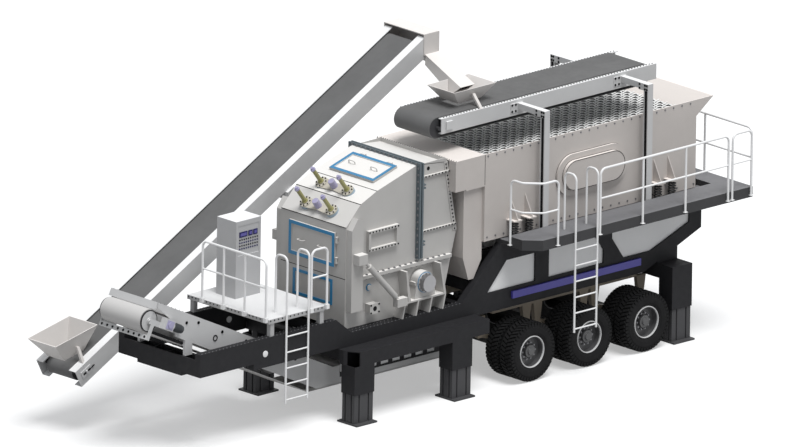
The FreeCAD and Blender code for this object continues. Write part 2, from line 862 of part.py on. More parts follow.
node("crusher_side_walls", both_sides([near_side_wall()]))

# Dark bolted flange that runs up both sides and over the roof

flange_outer = crusher_half_width + flange_overhang
flange_ring = prism_x([
    (-flange_outer, housing_joint + joint_flange_height), (-flange_outer, roof_top + flange_overhang / 2),
    (flange_outer, roof_top + flange_overhang / 2), (flange_outer, housing_joint + joint_flange_height),
    (crusher_half_width, housing_joint + joint_flange_height), (crusher_half_width, roof_top),
    (-crusher_half_width, roof_top), (-crusher_half_width, housing_joint + joint_flange_height),
], flange_x, flange_end_x)
groove = prism_x([
    (-flange_outer, housing_joint), (-flange_outer, roof_top + flange_overhang),
    (flange_outer, roof_top + flange_overhang), (flange_outer, housing_joint),
    (flange_outer - 25, housing_joint), (flange_outer - 25, roof_top + flange_overhang / 2 - 20),
    (-flange_outer + 25, roof_top + flange_overhang / 2 - 20), (-flange_outer + 25, housing_joint),
], flange_x + 0.38 * flange_length, flange_x + 0.62 * flange_length)
node("housing_flange", [flange_ring.cut(groove)])

# Corner pillars on the front of the side walls

pillar_front = crusher_front_x + 20
pillar_outline = [
    (pillar_front, pillar_bottom), (pillar_front, pillar_top - 200),
    (pillar_front + 0.5 * pillar_length, pillar_top), (pillar_front + pillar_length, pillar_top - 60),
    (pillar_front + pillar_length, pillar_bottom),
]
node("corner_pillars", both_sides([
    prism_y(pillar_outline, -crusher_half_width - pillar_width, -crusher_half_width)
]))

# Base: two cheeks, a front and a rear plate, a joint flange and ribs under a shelf

cheek_outline = [
    (crusher_front_x, girder_top), (crusher_front_x, housing_joint),
    (joint_rear_x, housing_joint), (base_rear_x, girder_top),
]
shaft_hole = shaft_radius + bearing_gap


def near_cheek():
    """The near cheek with its joint flange, bearing shelf and slanting ribs."""
    plate = prism_y(cheek_outline, -crusher_half_width, -wall_inner)
    plate = plate.cut(disc_y(rotor_x, rotor_height, shaft_hole, -crusher_half_width, -wall_inner))
    outer = -crusher_half_width - joint_flange_overhang
    joint = box(crusher_front_x + pillar_length + 40, joint_rear_x - 60, outer, -crusher_half_width,
                housing_joint - joint_flange_height, housing_joint)
    shelf_outer = -crusher_half_width - shelf_depth
    shelf = box(shelf_front_x, shelf_rear_x, shelf_outer, -crusher_half_width,
                shelf_height - base_rib_thickness, shelf_height)
    ribs = []
    pitch = (shelf_rear_x - shelf_front_x - base_rib_thickness) / (base_rib_count - 1)
    for k in range(base_rib_count):
        x = shelf_front_x + pitch * k
        lean = 60.0
        ribs.append(prism_y([
            (x, shelf_height - base_rib_thickness), (x + base_rib_thickness, shelf_height - base_rib_thickness),
            (x + base_rib_thickness - lean, girder_top), (x - lean, girder_top),
        ], shelf_outer, -crusher_half_width))
    cap_x = rotor_x + bearing_half_height + 160
    post = prism_y([
        (cap_x - 40, housing_joint - joint_flange_height), (cap_x, housing_joint - joint_flange_height),
        (shelf_rear_x, shelf_height), (shelf_rear_x - 50, shelf_height),
    ], shelf_outer, -crusher_half_width)
    post_front = prism_y([
        (shelf_front_x + 20, housing_joint - joint_flange_height),
        (shelf_front_x + 60, housing_joint - joint_flange_height),
        (shelf_front_x + 150, shelf_height), (shelf_front_x + 90, shelf_height),
    ], shelf_outer, -crusher_half_width)
    return fuse([plate, joint, shelf, post, post_front] + ribs)


base_plates = [
    box(crusher_front_x, crusher_front_x + crusher_wall, -wall_inner, wall_inner,
        girder_top, housing_joint),
    prism_y([(joint_rear_x - crusher_wall, housing_joint), (joint_rear_x, housing_joint),
             (base_rear_x, girder_top), (base_rear_x - crusher_wall, girder_top)],
            -wall_inner, wall_inner),
]
node("base_cheeks", both_sides([near_cheek()]))
node("base_ends", base_plates)

# Bearing housings on the shelf, with a round cover

bearing_outer = crusher_half_width + 15 + bearing_length


def near_bearing():
    """A split bearing block on its pedestal, bored for the shaft."""
    y0, y1 = -bearing_outer, -crusher_half_width - 15
    block = disc_y(rotor_x, rotor_height, bearing_half_height, y0, y1)
    pedestal = prism_y([
        (rotor_x - 1.25 * bearing_half_height, shelf_height),
        (rotor_x - bearing_half_height, rotor_height),
        (rotor_x + bearing_half_height, rotor_height),
        (rotor_x + 1.25 * bearing_half_height, shelf_height),
    ], y0, y1)
    rim = disc_y(rotor_x, rotor_height, bearing_half_height - 25, y0 - 20, y0)
    ears = [box(rotor_x - 1.15 * bearing_half_height, rotor_x + 1.15 * bearing_half_height, y0 + 20, y1 - 20,
                rotor_height - 30, rotor_height + 30)]
    bore = disc_y(rotor_x, rotor_height, shaft_radius + shaft_clearance, y0 - 20, y1)
    return fuse([block, pedestal, rim] + ears).cut(bore)


node("bearing_housings", both_sides([near_bearing()]))

# Rotor: discs on a shaft, with hammer bars held in slots round the rim

cap_gap = 6.0
shaft_half = bearing_outer + 20 + cap_gap


def rotor():
    """The shaft, its discs and the blow bars as one turning piece."""
    pieces = [disc_y(rotor_x, rotor_height, shaft_radius, -shaft_half, shaft_half)]
    span = 2 * rotor_half_width - rotor_disc_thickness
    for k in range(rotor_disc_count):
        y = -rotor_half_width + span * k / (rotor_disc_count - 1)
        pieces.append(disc_y(rotor_x, rotor_height, rotor_radius, y, y + rotor_disc_thickness))
    for side in (-1, 1):
        y0, y1 = sorted((side * shaft_half, side * (shaft_half + shaft_cap_length)))
        pieces.append(disc_y(rotor_x, rotor_height, shaft_cap_radius, y0, y1))
    body = fuse(pieces)
    bars = []
    for k in range(blow_bar_count):
        outer = rotor_radius + blow_bar_reach
        bar_shape = box(rotor_x - blow_bar_thickness / 2, rotor_x + blow_bar_thickness / 2,
                        -rotor_half_width, rotor_half_width,
                        rotor_height + outer - blow_bar_depth, rotor_height + outer)
        bar_shape.rotate(V(rotor_x, 0, rotor_height), V(0, 1, 0), 45 + 360 / blow_bar_count * k)
        bars.append(bar_shape)
    return fuse([body] + bars)


node("rotor", [rotor()])

# Rods, pads and cylinders on the brow of the housing

rod_angle = 38.0
rod_length = 400.0
rod_radius = 38.0
rod_pad_radius = 112.0
rod_pad_height = 62.0
rod_spread = 330.0
rod_rows = ((0.42, 0), (0.45, 1))
jack_radius = 62.0
jack_height = 200.0


def rod_line(row):
    """Where one row of rods meets the roof, and the direction that it stands in."""
    share, plate = row
    (x0, z0), (x1, z1) = housing_line[1 + plate], housing_line[2 + plate]
    foot = V(x0 + share * (x1 - x0), 0, z0 + share * (z1 - z0))
    lean = math.radians(rod_angle)
    return foot, V(-math.sin(lean), 0, math.cos(lean))


def adjuster(row, y):
    """A sprung rod with its round pad and its nut, seated on the roof."""
    foot, up = rod_line(row)
    foot = foot + V(0, y, 0)
    pad = bar(foot - up * rod_pad_radius, foot + up * rod_pad_height, rod_pad_radius)
    collar = bar(foot, foot + up * (rod_pad_height + 30), 1.5 * rod_radius)
    rod = bar(foot, foot + up * rod_length, rod_radius)
    tip = bar(foot, foot + up * (rod_length + 45), 0.6 * rod_radius)
    return fuse([pad, collar, rod, tip])


def jack(row):
    """A short upright cylinder between two rods."""
    foot, up = rod_line(row)
    return bar(foot - up * jack_radius, foot + up * jack_height, jack_radius)


roof_body = prism_y(housing_line, -crusher_half_width, crusher_half_width)
adjusters = [adjuster(row, side * rod_spread).cut(roof_body) for row in rod_rows for side in (-1, 1)]
jacks = [jack(row).cut(roof_body) for row in rod_rows]
node("adjusting_rods", adjusters + jacks)

# Opening cylinders between the pillars and the base

cylinder_radius = 55.0
cylinder_rod_radius = 30.0
cylinder_top = V(pillar_front + 190, 0, pillar_top - 740)
cylinder_foot = V(shelf_front_x - 170, 0, shelf_height + 90)
cylinder_y = -crusher_half_width - pillar_width - 90.0


def near_cylinder():
    """A cylinder from a bracket on the pillar down to a bracket on the shelf."""
    top = cylinder_top + V(0, cylinder_y, 0)
    foot = cylinder_foot + V(0, cylinder_y, 0)
    along = (foot - top).normalize()
    bracket = box(top.x - 150, top.x + 60, cylinder_y - 60, -crusher_half_width - pillar_width,
                  top.z - 70, top.z + 110)
    foot_block = box(foot.x - 70, shelf_front_x, cylinder_y - 60, cylinder_y + 60,
                     shelf_height - base_rib_thickness, foot.z + 30)
    return fuse([bracket, foot_block, bar(top, foot, cylinder_rod_radius),
                 bar(top + along * 200, foot - along * 120, cylinder_radius)])


node("opening_cylinders", both_sides([near_cylinder()]))

# Screen box, deck, springs

lip_x = screen_rear_x + screen_lip_run
wall_outline = [
    (screen_front_x, screen_bottom), (screen_front_x, screen_top), (lip_x, screen_top),
    (screen_rear_x, screen_lip_bottom), (screen_rear_x, screen_bottom),
]
screen_inner = screen_half_width - screen_wall
box_inside = [
    (screen_front_x + screen_wall, screen_bottom + screen_wall),
    (screen_front_x + screen_wall, chute_box_bottom), (screen_front_x, chute_box_bottom),
    (screen_front_x, screen_top), (lip_x - 1.5 * screen_wall, screen_top),
    (screen_rear_x - screen_wall, screen_lip_bottom + 0.5 * screen_wall),
    (screen_rear_x - screen_wall, screen_bottom + screen_wall),
]
screen_shell = prism_y(wall_outline, -screen_half_width, screen_half_width).cut(
    prism_y(box_inside, -screen_inner, screen_inner))
exciter_plates = both_sides([fuse([
    stadium(exciter_x, exciter_height, exciter_length, exciter_width,
            -screen_half_width - 0.4 * exciter_depth, -screen_half_width),
    stadium(exciter_x, exciter_height, 0.86 * exciter_length, 0.72 * exciter_width,
            -screen_half_width - exciter_depth, -screen_half_width),
])])
spring_foot = deck_bottom + deck_shelf_depth
spring_top = spring_foot + spring_length
bracket_outer = spring_line + spring_radius + 15


def spring_bracket(x):
    """A seat plate above one spring, with a triangular gusset on the screen wall."""
    seat = box(x - spring_radius - 20, x + spring_radius + 20, -bracket_outer, -screen_half_width,
               spring_top, spring_top + 20)
    gusset = prism_x([
        (-bracket_outer, spring_top + 20), (-screen_half_width, spring_top + 20),
        (-screen_half_width, spring_top + spring_bracket_height),
    ], x - 8, x + 8)
    return fuse([seat, gusset])


brackets = both_sides([spring_bracket(x) for x in spring_pairs_x])
node("screen_box", [fuse([screen_shell] + exciter_plates + brackets)])
node("screen_deck", [box(screen_front_x + screen_wall, screen_rear_x - screen_wall, -screen_inner,
                         screen_inner, screen_deck_height - screen_deck_thickness, screen_deck_height)])


def spring(x, y):
    """A spring drawn as a stack of round turns on a core."""
    pitch = spring_length / spring_turns
    profile = [(0, spring_foot)]
    for k in range(spring_turns):
        low = spring_foot + k * pitch
        profile += [(spring_radius - spring_wire, low), (spring_radius, low + 0.3 * pitch),
                    (spring_radius, low + 0.7 * pitch)]
    profile += [(spring_radius - spring_wire, spring_top), (0, spring_top)]
    points = [V(x + radius, y, z) for radius, z in profile]
    face = Part.Face(Part.makePolygon(points + points[:1]))
    return face.revolve(V(x, y, 0), V(0, 0, 1), 360)


node("screen_springs", [spring(x, y) for x in spring_pairs_x for y in (-spring_line, spring_line)])

# Feed chute: a hood in front of the screen, a sloping floor and a leg

chute_wall = screen_wall
hood = box(chute_front_x, screen_front_x, -screen_half_width, screen_half_width,
           chute_box_bottom, screen_top)
hood = hood.cut(box(chute_front_x + chute_wall, screen_front_x, -screen_inner, screen_inner,
                    chute_box_bottom, screen_top - chute_wall))
hood = hood.cut(box(chute_front_x, chute_front_x + chute_wall, -crusher_half_width - 5,
                    crusher_half_width + 5, chute_box_bottom, screen_top - chute_wall))
floor_line = [
    (screen_front_x, screen_deck_height - 60), (screen_front_x, screen_deck_height - 60 - chute_wall),
    (chute_leg_x, chute_box_bottom - chute_wall), (chute_leg_x, chute_box_bottom),
]
chute_floor = prism_y(floor_line, -screen_inner, screen_inner)
leg_half_y_out = screen_half_width - 60
leg_outline = [
    (chute_leg_x, chute_leg_bottom + 420), (chute_leg_x, chute_box_bottom),
    (screen_front_x, chute_box_bottom), (screen_front_x, chute_leg_bottom + 330),
    (chute_leg_x + 260, chute_leg_bottom), (chute_leg_x + 140, chute_leg_bottom),
]
leg_inside = [
    (chute_leg_x + chute_wall, chute_leg_bottom + 415), (chute_leg_x + chute_wall, chute_box_bottom),
    (screen_front_x - chute_wall, chute_box_bottom), (screen_front_x - chute_wall, chute_leg_bottom + 340),
    (chute_leg_x + 240, chute_leg_bottom), (chute_leg_x + 160, chute_leg_bottom),
]
chute_leg = prism_y(leg_outline, -leg_half_y_out, leg_half_y_out).cut(
    prism_y(leg_inside, -leg_half_y_out + chute_wall, leg_half_y_out - chute_wall))
shoulder_plates = both_sides([
    box(chute_leg_x, screen_front_x, -screen_half_width, -leg_half_y_out + chute_wall,
        chute_box_bottom - chute_wall, chute_box_bottom)
])
node("feed_chute", [fuse([hood, chute_floor, chute_leg] + shoulder_plates)])

# Upper walkway: a framed deck round three sides, on shelves over the girders

deck_top = deck_bottom + deck_depth
deck_plate = 50.0
deck_edge = 60.0
joist_width = 80.0
joist_count = 7
rear_strip_x = girder_rear_x + 20
near_strip = [
    (deck_front_x, -deck_inner_half_width), (deck_front_x, -deck_outer_half_width + deck_corner),
    (deck_front_x + deck_corner, -deck_outer_half_width), (deck_rear_x, -deck_outer_half_width),
    (deck_rear_x, 0), (rear_strip_x, 0), (rear_strip_x, -deck_inner_half_width),
]
half_deck = prism_z(near_strip, deck_bottom, deck_top)
cell = (rear_strip_x - deck_front_x - 2 * deck_corner) / joist_count
cells = [
    box(deck_front_x + 2 * deck_corner + cell * k, deck_front_x + 2 * deck_corner + cell * (k + 1) - joist_width,
        -deck_outer_half_width + deck_edge, -deck_inner_half_width - deck_edge,
        deck_bottom, deck_top - deck_plate)
    for k in range(joist_count)
]
cells.append(box(rear_strip_x + deck_edge, deck_rear_x - deck_edge, -deck_outer_half_width + deck_edge,
                 -joist_width / 2, deck_bottom, deck_top - deck_plate))
shelf_strip = box(incline_end_x, rear_strip_x, -deck_inner_half_width, -girder_inner,
                  deck_bottom, deck_bottom + deck_shelf_depth)
half_deck = fuse([half_deck.cut(cells), shelf_strip])
node("walkway", [fuse([half_deck, mirror(half_deck)])])


rail_bend = 110.0


def railing(points, posts, foot, top):
    """A tube railing over plan points: a bent top rail, a mid rail and posts between each two points."""
    low = V(0, 0, foot)
    high = V(0, 0, top)
    middle = V(0, 0, 0.5 * (foot + top) + 60)
    radius = rail_post_radius
    pieces = [bent_tube([points[0] + low] + [spot + high for spot in points] + [points[-1] + low],
                        radius, rail_bend)]
    pieces.append(bent_tube([spot + middle for spot in points], 0.8 * radius, rail_bend))
    spots = []
    for start, end in zip(points[:-1], points[1:]):
        spots += [start + (end - start) * ((k + 1) / (posts + 1)) for k in range(posts)]
    pieces += [bar(spot + low, spot + high, radius) for spot in spots]
    return fuse(pieces)


# Walkway railings: a front pen round the corner, a long side, a rear pen on each side, and the rear rail

rail_line = deck_outer_half_width + rail_post_radius
rail_foot = deck_bottom + 40
rail_top = deck_top + railing_height
ladder_x = 7930.0
ladder_gap = 60.0
pen_end_x = deck_front_x + 600
side_rail_x = ladder_x + ladder_width + ladder_gap
side_rail_end = girder_rear_x - 160
pen_rear_x = side_rail_end + 100
front_rail_x = deck_front_x - rail_post_radius
rear_rail_x = deck_rear_x + rail_post_radius
chamfer_shift = rail_post_radius * math.tan(math.pi / 8)
front_pen = [
    V(front_rail_x, -deck_inner_half_width - 60, 0),
    V(front_rail_x, -deck_outer_half_width + deck_corner - chamfer_shift, 0),
    V(deck_front_x + deck_corner - chamfer_shift, -rail_line, 0),
    V(pen_end_x, -rail_line, 0),
]
railings = both_sides([
    railing(front_pen, 0, rail_foot, rail_top),
    railing([V(side_rail_x, -rail_line, 0), V(side_rail_end, -rail_line, 0)], 2, rail_foot, rail_top),
    railing([V(pen_rear_x, -rail_line, 0), V(deck_rear_x - 60, -rail_line, 0)], 0, rail_foot, rail_top),
])
railings.append(railing([V(rear_rail_x, -deck_outer_half_width + 60, 0),
                         V(rear_rail_x, deck_outer_half_width - 60, 0)], 2, rail_foot, rail_top))
node("walkway_railings", railings)

# Ladders: two stringers with rungs, bent over the deck at the top


def ladder(x, y, bottom, landing, top, inward):
    """A ladder whose stringers rise past the landing and come down on it as hand hoops."""
    pieces = []
    for stringer in (x, x + ladder_width):
        pieces.append(bent_tube([
            V(stringer, y, bottom), V(stringer, y, top), V(stringer, y + inward, top),
            V(stringer, y + inward, landing),
        ], ladder_tube_radius, rail_bend))
    count = int((landing - bottom) / rung_spacing)
    for k in range(count):
        z = bottom + 60 + rung_spacing * k
        pieces.append(bar(V(x, y, z), V(x + ladder_width, y, z), 0.7 * ladder_tube_radius))
    return fuse(pieces)


front_ladder_x = 1710.0
front_ladder_bottom = 600.0
upper_ladder_bottom = 860.0
hoop_inward = 290.0
platform_height = nose_top + platform_rise
platform_rail_top = platform_height + railing_height + 30
front_ladder_y = -platform_half_width - ladder_tube_radius
upper_ladder_y = -deck_outer_half_width - ladder_tube_radius
ladders = [
    ladder(front_ladder_x, front_ladder_y, front_ladder_bottom, platform_height, platform_rail_top, hoop_inward),
    ladder(ladder_x, upper_ladder_y, upper_ladder_bottom, deck_top, rail_top, hoop_inward),
]
node("ladders", ladders)

# Lower platform on posts over the front frame

platform_bottom = platform_height - platform_depth
post_size = 90.0
platform_posts = [
    box(x, x + post_size, y, y + post_size, nose_top, platform_bottom)
    for x in (platform_front_x + 60, platform_rear_x - 160)
    for y in (-chassis_half_width + 20, chassis_half_width - 20 - post_size)
]
platform_slab = box(platform_front_x, platform_rear_x, -platform_half_width, platform_half_width,
                    platform_bottom, platform_height)
slab_cell = 560.0
slab_cells = [
    box(x, x + slab_cell, y, y + slab_cell, platform_bottom, platform_height - 30)
    for x in (platform_front_x + 80, platform_front_x + 760)
    for y in (-platform_half_width + 80, -280, platform_half_width - 640)
]
node("lower_platform", [fuse([platform_slab.cut(slab_cells)] + platform_posts)])

platform_rail_foot = platform_bottom + 30
platform_front_rail_x = platform_front_x - rail_post_radius
platform_rail_y = -platform_half_width - rail_post_radius
platform_railings = [
    railing([V(platform_front_rail_x, -platform_half_width + 60, 0), V(platform_front_rail_x, 640, 0)], 2,
            platform_rail_foot, platform_rail_top),
    railing([V(front_ladder_x + ladder_width + ladder_gap, platform_rail_y, 0),
             V(platform_rear_x - 40, platform_rail_y, 0)], 0, platform_rail_foot, platform_rail_top),
]
node("platform_railings", platform_railings)

# Control cabinet with a recessed panel field on its near face

cabinet = box(cabinet_x, cabinet_x + cabinet_length_x, cabinet_y, cabinet_y + cabinet_width_y,
              platform_height, platform_height + cabinet_height)
panel_margin = 45.0
panel_low = platform_height + 0.55 * cabinet_height
panel_recess_depth = 8.0
panel_field = box(cabinet_x + panel_margin, cabinet_x + cabinet_length_x - panel_margin, cabinet_y,
                  cabinet_y + panel_recess_depth, panel_low, platform_height + cabinet_height - 90)
node("control_cabinet", [cabinet.cut(panel_field)])

# Belts: a closed loop of even thickness round two drums, with a knee where the run bends


def meet(point, angle, other, other_angle):
    """Where two X, Z lines cross, or None when they run the same way."""
    (x1, z1), (x2, z2) = point, other
    sine = math.sin(other_angle - angle)
    if abs(sine) < 1e-6:
        return None
    reach = ((x2 - x1) * math.sin(other_angle) - (z2 - z1) * math.cos(other_angle)) / sine
    return (x1 + reach * math.cos(angle), z1 + reach * math.sin(angle))


def loop_face(start, start_radius, start_angle, end, end_radius, end_angle, y):
    """The flat region inside a belt that leaves one drum at an angle and meets the other at another."""
    def around(centre, radius, angle, turn):
        return (centre[0] + radius * math.cos(angle + turn), centre[1] + radius * math.sin(angle + turn))

    quarter = math.pi / 2
    start_top = around(start, start_radius, start_angle, quarter)
    start_back = around(start, start_radius, start_angle, 2 * quarter)
    start_low = around(start, start_radius, start_angle, -quarter)
    end_top = around(end, end_radius, end_angle, quarter)
    end_front = around(end, end_radius, end_angle, 0)
    end_low = around(end, end_radius, end_angle, -quarter)
    top_knee = meet(start_top, start_angle, end_top, end_angle)
    low_knee = meet(start_low, start_angle, end_low, end_angle)
    point = {name: V(place[0], y, place[1]) for name, place in (
        ("start_top", start_top), ("start_back", start_back), ("start_low", start_low),
        ("end_top", end_top), ("end_front", end_front), ("end_low", end_low))}
    top = [point["start_top"]] + ([V(top_knee[0], y, top_knee[1])] if top_knee else []) + [point["end_top"]]
    low = [point["end_low"]] + ([V(low_knee[0], y, low_knee[1])] if low_knee else []) + [point["start_low"]]
    edges = [Part.LineSegment(a, b).toShape() for a, b in zip(top[:-1], top[1:])]
    edges.append(Part.Arc(point["end_top"], point["end_front"], point["end_low"]).toShape())
    edges += [Part.LineSegment(a, b).toShape() for a, b in zip(low[:-1], low[1:])]
    edges.append(Part.Arc(point["start_low"], point["start_back"], point["start_top"]).toShape())
    return Part.Face(Part.Wire(edges))


def belt(start, start_radius, start_angle, end, end_radius, end_angle, y0, y1):
    """A belt of even thickness that lies on two drums of the given radii."""
    outside = loop_face(start, start_radius + belt_thickness, start_angle,
                        end, end_radius + belt_thickness, end_angle, y0)
    inside = loop_face(start, start_radius, start_angle, end, end_radius, end_angle, y0)
    width = V(0, y1 - y0, 0)
    return outside.extrude(width).cut(inside.extrude(width))


# Main conveyor: two side plates, down from the head and then level below the crusher

slope = math.radians(main_angle)
down = (-math.sin(slope), -math.cos(slope))
knee_top = main_head_top - (main_knee_x - main_head_x) * math.tan(slope)
level_height = 0.7 * main_plate_height
level_bottom = knee_top - level_height
head_low = (main_head_x + main_plate_height * down[0], main_head_top + main_plate_height * down[1])
knee_low_x = head_low[0] + (head_low[1] - level_bottom) / math.tan(slope)
main_drum_drop = 358.0
arm_half = 50.0
arm_front = -50.0
arm_rear = 660.0
main_tail_radius = 140.0
strand_drop = 90.0
main_head_drum = (main_head_x + main_drum_drop * down[0], main_head_top + main_drum_drop * down[1])
main_tail_drum = (main_tail_x - 200, knee_top - strand_drop - main_tail_radius)
main_plate_inner = main_half_width - main_plate_thickness


def on_slope(along, drop):
    """A place on the main conveyor's slope, as X and Z, from the upper corner of its head."""
    return (main_head_x + along * math.cos(slope) + drop * down[0],
            main_head_top - along * math.sin(slope) + drop * down[1])


# The plate is cut back round the drum and carries it on an arm
main_outline = [
    (main_head_x, main_head_top), (main_knee_x, knee_top), (main_tail_x, knee_top),
    (main_tail_x, level_bottom), (knee_low_x, level_bottom), on_slope(arm_rear + 20, main_plate_height),
    on_slope(arm_rear, main_drum_drop + arm_half), on_slope(arm_front, main_drum_drop + arm_half),
    on_slope(arm_front, main_drum_drop - arm_half), on_slope(500, main_drum_drop - arm_half),
    on_slope(500, 220), on_slope(30, 100),
]
shaft_end_radius = 35.0
block_size = 150.0
block_depth = 60.0


def shaft_block(x, z, y0, y1):
    """A bearing block on the outside of a side plate."""
    return box(x - block_size / 2, x + block_size / 2, y0, y1, z - block_size / 2, z + block_size / 2)


cross_tube_radius = 38.0
level_tube_first = 500.0
level_tube_second = 1500.0
main_tubes = []
for share in (0.12, 0.34, 0.56, 0.78):
    x = main_head_x + share * (main_knee_x - main_head_x)
    z = main_head_top - (x - main_head_x) * math.tan(slope) - main_drum_drop
    main_tubes.append(bar(V(x, -main_plate_inner, z), V(x, main_plate_inner, z), cross_tube_radius))
main_tubes += [
    bar(V(x, -main_plate_inner, level_bottom + 90), V(x, main_plate_inner, level_bottom + 90), cross_tube_radius)
    for x in (main_knee_x + level_tube_first, main_knee_x + level_tube_second)
]
slot_pitch = 280.0
slot_length = 180.0
slot_height = 80.0
slot_count = 8
slots = [
    box(x, x + slot_length, -main_half_width, -main_plate_inner,
        knee_top - 2 * slot_height - 20, knee_top - slot_height - 20)
    for x in (main_knee_x + 320 + slot_pitch * k for k in range(slot_count))
]
main_frame = both_sides([prism_y(main_outline, -main_half_width, -main_plate_inner).cut(slots)])

# A cross plate over the head drum, a scraper beam below it on two arms, and its drive
cross_plate_height = 135.0
scraper_top = 600.0
scraper_height = 90.0
scraper_thickness = 40.0
gearbox_front = 210.0
gearbox_length = 220.0
gearbox_depth = 140.0
motor_radius = 70.0
motor_length = 250.0


def slope_block(along0, along1, drop0, drop1, y0, y1):
    """A block set square to the main conveyor's slope."""
    return prism_y([on_slope(along0, drop0), on_slope(along1, drop0), on_slope(along1, drop1),
                    on_slope(along0, drop1)], y0, y1)


motor_x, motor_z = on_slope(gearbox_front + gearbox_length, main_drum_drop - arm_half)
motor_end_x, motor_end_z = on_slope(gearbox_front + gearbox_length + motor_length, main_drum_drop - arm_half)
motor_y = -main_half_width - 0.5 * gearbox_depth - 10
main_frame += [
    slope_block(-scraper_thickness / 2, 0, 0, cross_plate_height, -main_plate_inner, main_plate_inner),
    slope_block(0, scraper_thickness, scraper_top, scraper_top + scraper_height, -main_half_width, main_half_width),
    slope_block(gearbox_front, gearbox_front + gearbox_length, main_drum_drop - 3 * arm_half,
                main_drum_drop + arm_half, -main_half_width - gearbox_depth, -main_half_width),
    bar(V(motor_x, motor_y, motor_z), V(motor_end_x, motor_y, motor_end_z), motor_radius),
]
main_frame += both_sides([
    slope_block(0, 2 * scraper_thickness, main_drum_drop, scraper_top + scraper_height,
                -main_half_width, -main_plate_inner)
])
hanger_plates = both_sides([
    box(x, x + 120, -main_half_width - main_plate_thickness, -main_half_width, knee_top - 120, girder_bottom)
    for x in (cross_x[1] + 15, cross_x[2] + 15, cross_x[3] + 15)
])


def main_underside(x):
    """Height of the main conveyor's sloping underside above a place along the trailer."""
    return head_low[1] - (x - head_low[0]) * math.tan(slope)


stand_front = nose_x + 40
stand_rear = front_inner - 40
head_stands = both_sides([prism_y([
    (stand_front, front_beam_top), (stand_front, main_underside(stand_front)),
    (stand_rear, main_underside(stand_rear)), (stand_rear, front_beam_top),
], -main_half_width, -main_half_width + 50)])
node("main_conveyor_frame", [fuse(main_frame + main_tubes + hanger_plates + head_stands)])

# Return conveyor: two channels on the slope, with cross bars below the belt

return_slope = math.radians(return_angle)
return_far_y = return_near_y + return_width
return_mid_y = return_near_y + return_width / 2
channel_web = 14.0


def on_return(shape):
    """Place a shape drawn level, with its lower front corner at the origin, on the return slope."""
    placed = shape.copy()
    placed.rotate(V(0, 0, 0), V(0, 1, 0), -return_angle)
    placed.translate(V(return_tail_x, 0, return_tail_bottom))
    return placed


def channel(length, y_web, y_open, height):
    """A channel along X, its web at one side and its flanges towards the other."""
    y0, y1 = sorted((y_web, y_open))
    inner0, inner1 = (y0 + channel_web, y1) if y_web < y_open else (y0, y1 - channel_web)
    return box(0, length, y0, y1, 0, height).cut(
        box(0, length, inner0, inner1, channel_web, height - channel_web))


return_drop = 24.0
return_drum_up = return_channel_height - return_drop - belt_thickness - return_drum_radius
return_tail_along = return_drum_radius + 40
return_head_along = return_length - return_drum_radius - 60
return_frame = [
    channel(return_length, return_near_y, return_near_y + return_channel_width, return_channel_height),
    channel(return_length, return_far_y, return_far_y - return_channel_width, return_channel_height),
]
bar_count = 7
bar_inset = 900.0
return_bar_low = 30.0
return_bar_high = 90.0
for k in range(bar_count):
    along = bar_inset + k * (return_length - 2 * bar_inset) / (bar_count - 1)
    return_frame.append(box(along, along + 80, return_near_y + channel_web, return_far_y - channel_web,
                            return_bar_low, return_bar_high))
return_frame = [on_return(piece) for piece in return_frame]


def return_underside(x):
    """Height of the return conveyor's underside above a place along the trailer."""
    return return_tail_bottom + (x - return_tail_x) * math.tan(return_slope)


support_x = 3950.0
support_size = 140.0
support_top = return_underside(support_x)
support_post = prism_y([
    (support_x, sill_top), (support_x, support_top),
    (support_x + support_size, return_underside(support_x + support_size)),
    (support_x + support_size, sill_top),
], sill_outer_half_width - support_size, sill_outer_half_width)
support_arm = prism_y([
    (support_x, support_top - support_size), (support_x, support_top),
    (support_x + support_size, return_underside(support_x + support_size)),
    (support_x + support_size, support_top - support_size),
], sill_outer_half_width, return_far_y)
tail_support_x = 250.0
tail_arm = prism_y([
    (tail_support_x, nose_bottom), (tail_support_x, return_underside(tail_support_x)),
    (tail_support_x + support_size, return_underside(tail_support_x + support_size)),
    (tail_support_x + support_size, nose_bottom),
], chassis_half_width, return_far_y)
node("return_conveyor_frame", [fuse(return_frame)])
node("return_conveyor_supports", [fuse([support_post, support_arm]), tail_arm])

# Top conveyor: two level channels carried by two portals

top_channels = both_sides([
    channel(top_rear_x - top_front_x, -top_half_width, -top_half_width + top_channel_width, top_channel_height)
])
for piece in top_channels:
    piece.translate(V(top_front_x, 0, top_channel_bottom))
top_bars = [
    box(x, x + 90, -top_half_width + channel_web, top_half_width - channel_web,
        top_channel_bottom + channel_web, top_channel_bottom + 60)
    for x in (portal_x[0], 0.5 * (portal_x[0] + portal_x[1]), portal_x[1])
]
top_drum_z = top_channel_bottom + top_channel_height - belt_thickness - top_drum_radius + 20
top_blocks = both_sides([
    shaft_block(top_front_x + 180, top_channel_bottom + top_channel_height / 2,
                -top_half_width - block_depth / 2, -top_half_width)
])
node("top_conveyor_frame", [fuse(top_channels + top_bars + top_blocks)])


def portal_leg(x):
    """A post on the walkway shelf with an arm to the conveyor's channel."""
    half = portal_post / 2
    post = box(x - half, x + half, -portal_half_width - half, -portal_half_width + half,
               deck_bottom + deck_shelf_depth, portal_top)
    arm = box(x - half, x + half, -portal_half_width + half, -top_half_width,
              portal_top - portal_post, portal_top)
    return fuse([post, arm])


node("portal_frames", both_sides([portal_leg(x) for x in portal_x]))

# Belts and drums of the three conveyors

main_belt = belt(main_head_drum, main_drum_radius, -slope, main_tail_drum, main_tail_radius, 0,
                 -main_belt_half_width, main_belt_half_width)


def return_point(along, up):
    """A place on the return slope, as X and Z."""
    return (return_tail_x + along * math.cos(return_slope) - up * math.sin(return_slope),
            return_tail_bottom + along * math.sin(return_slope) + up * math.cos(return_slope))


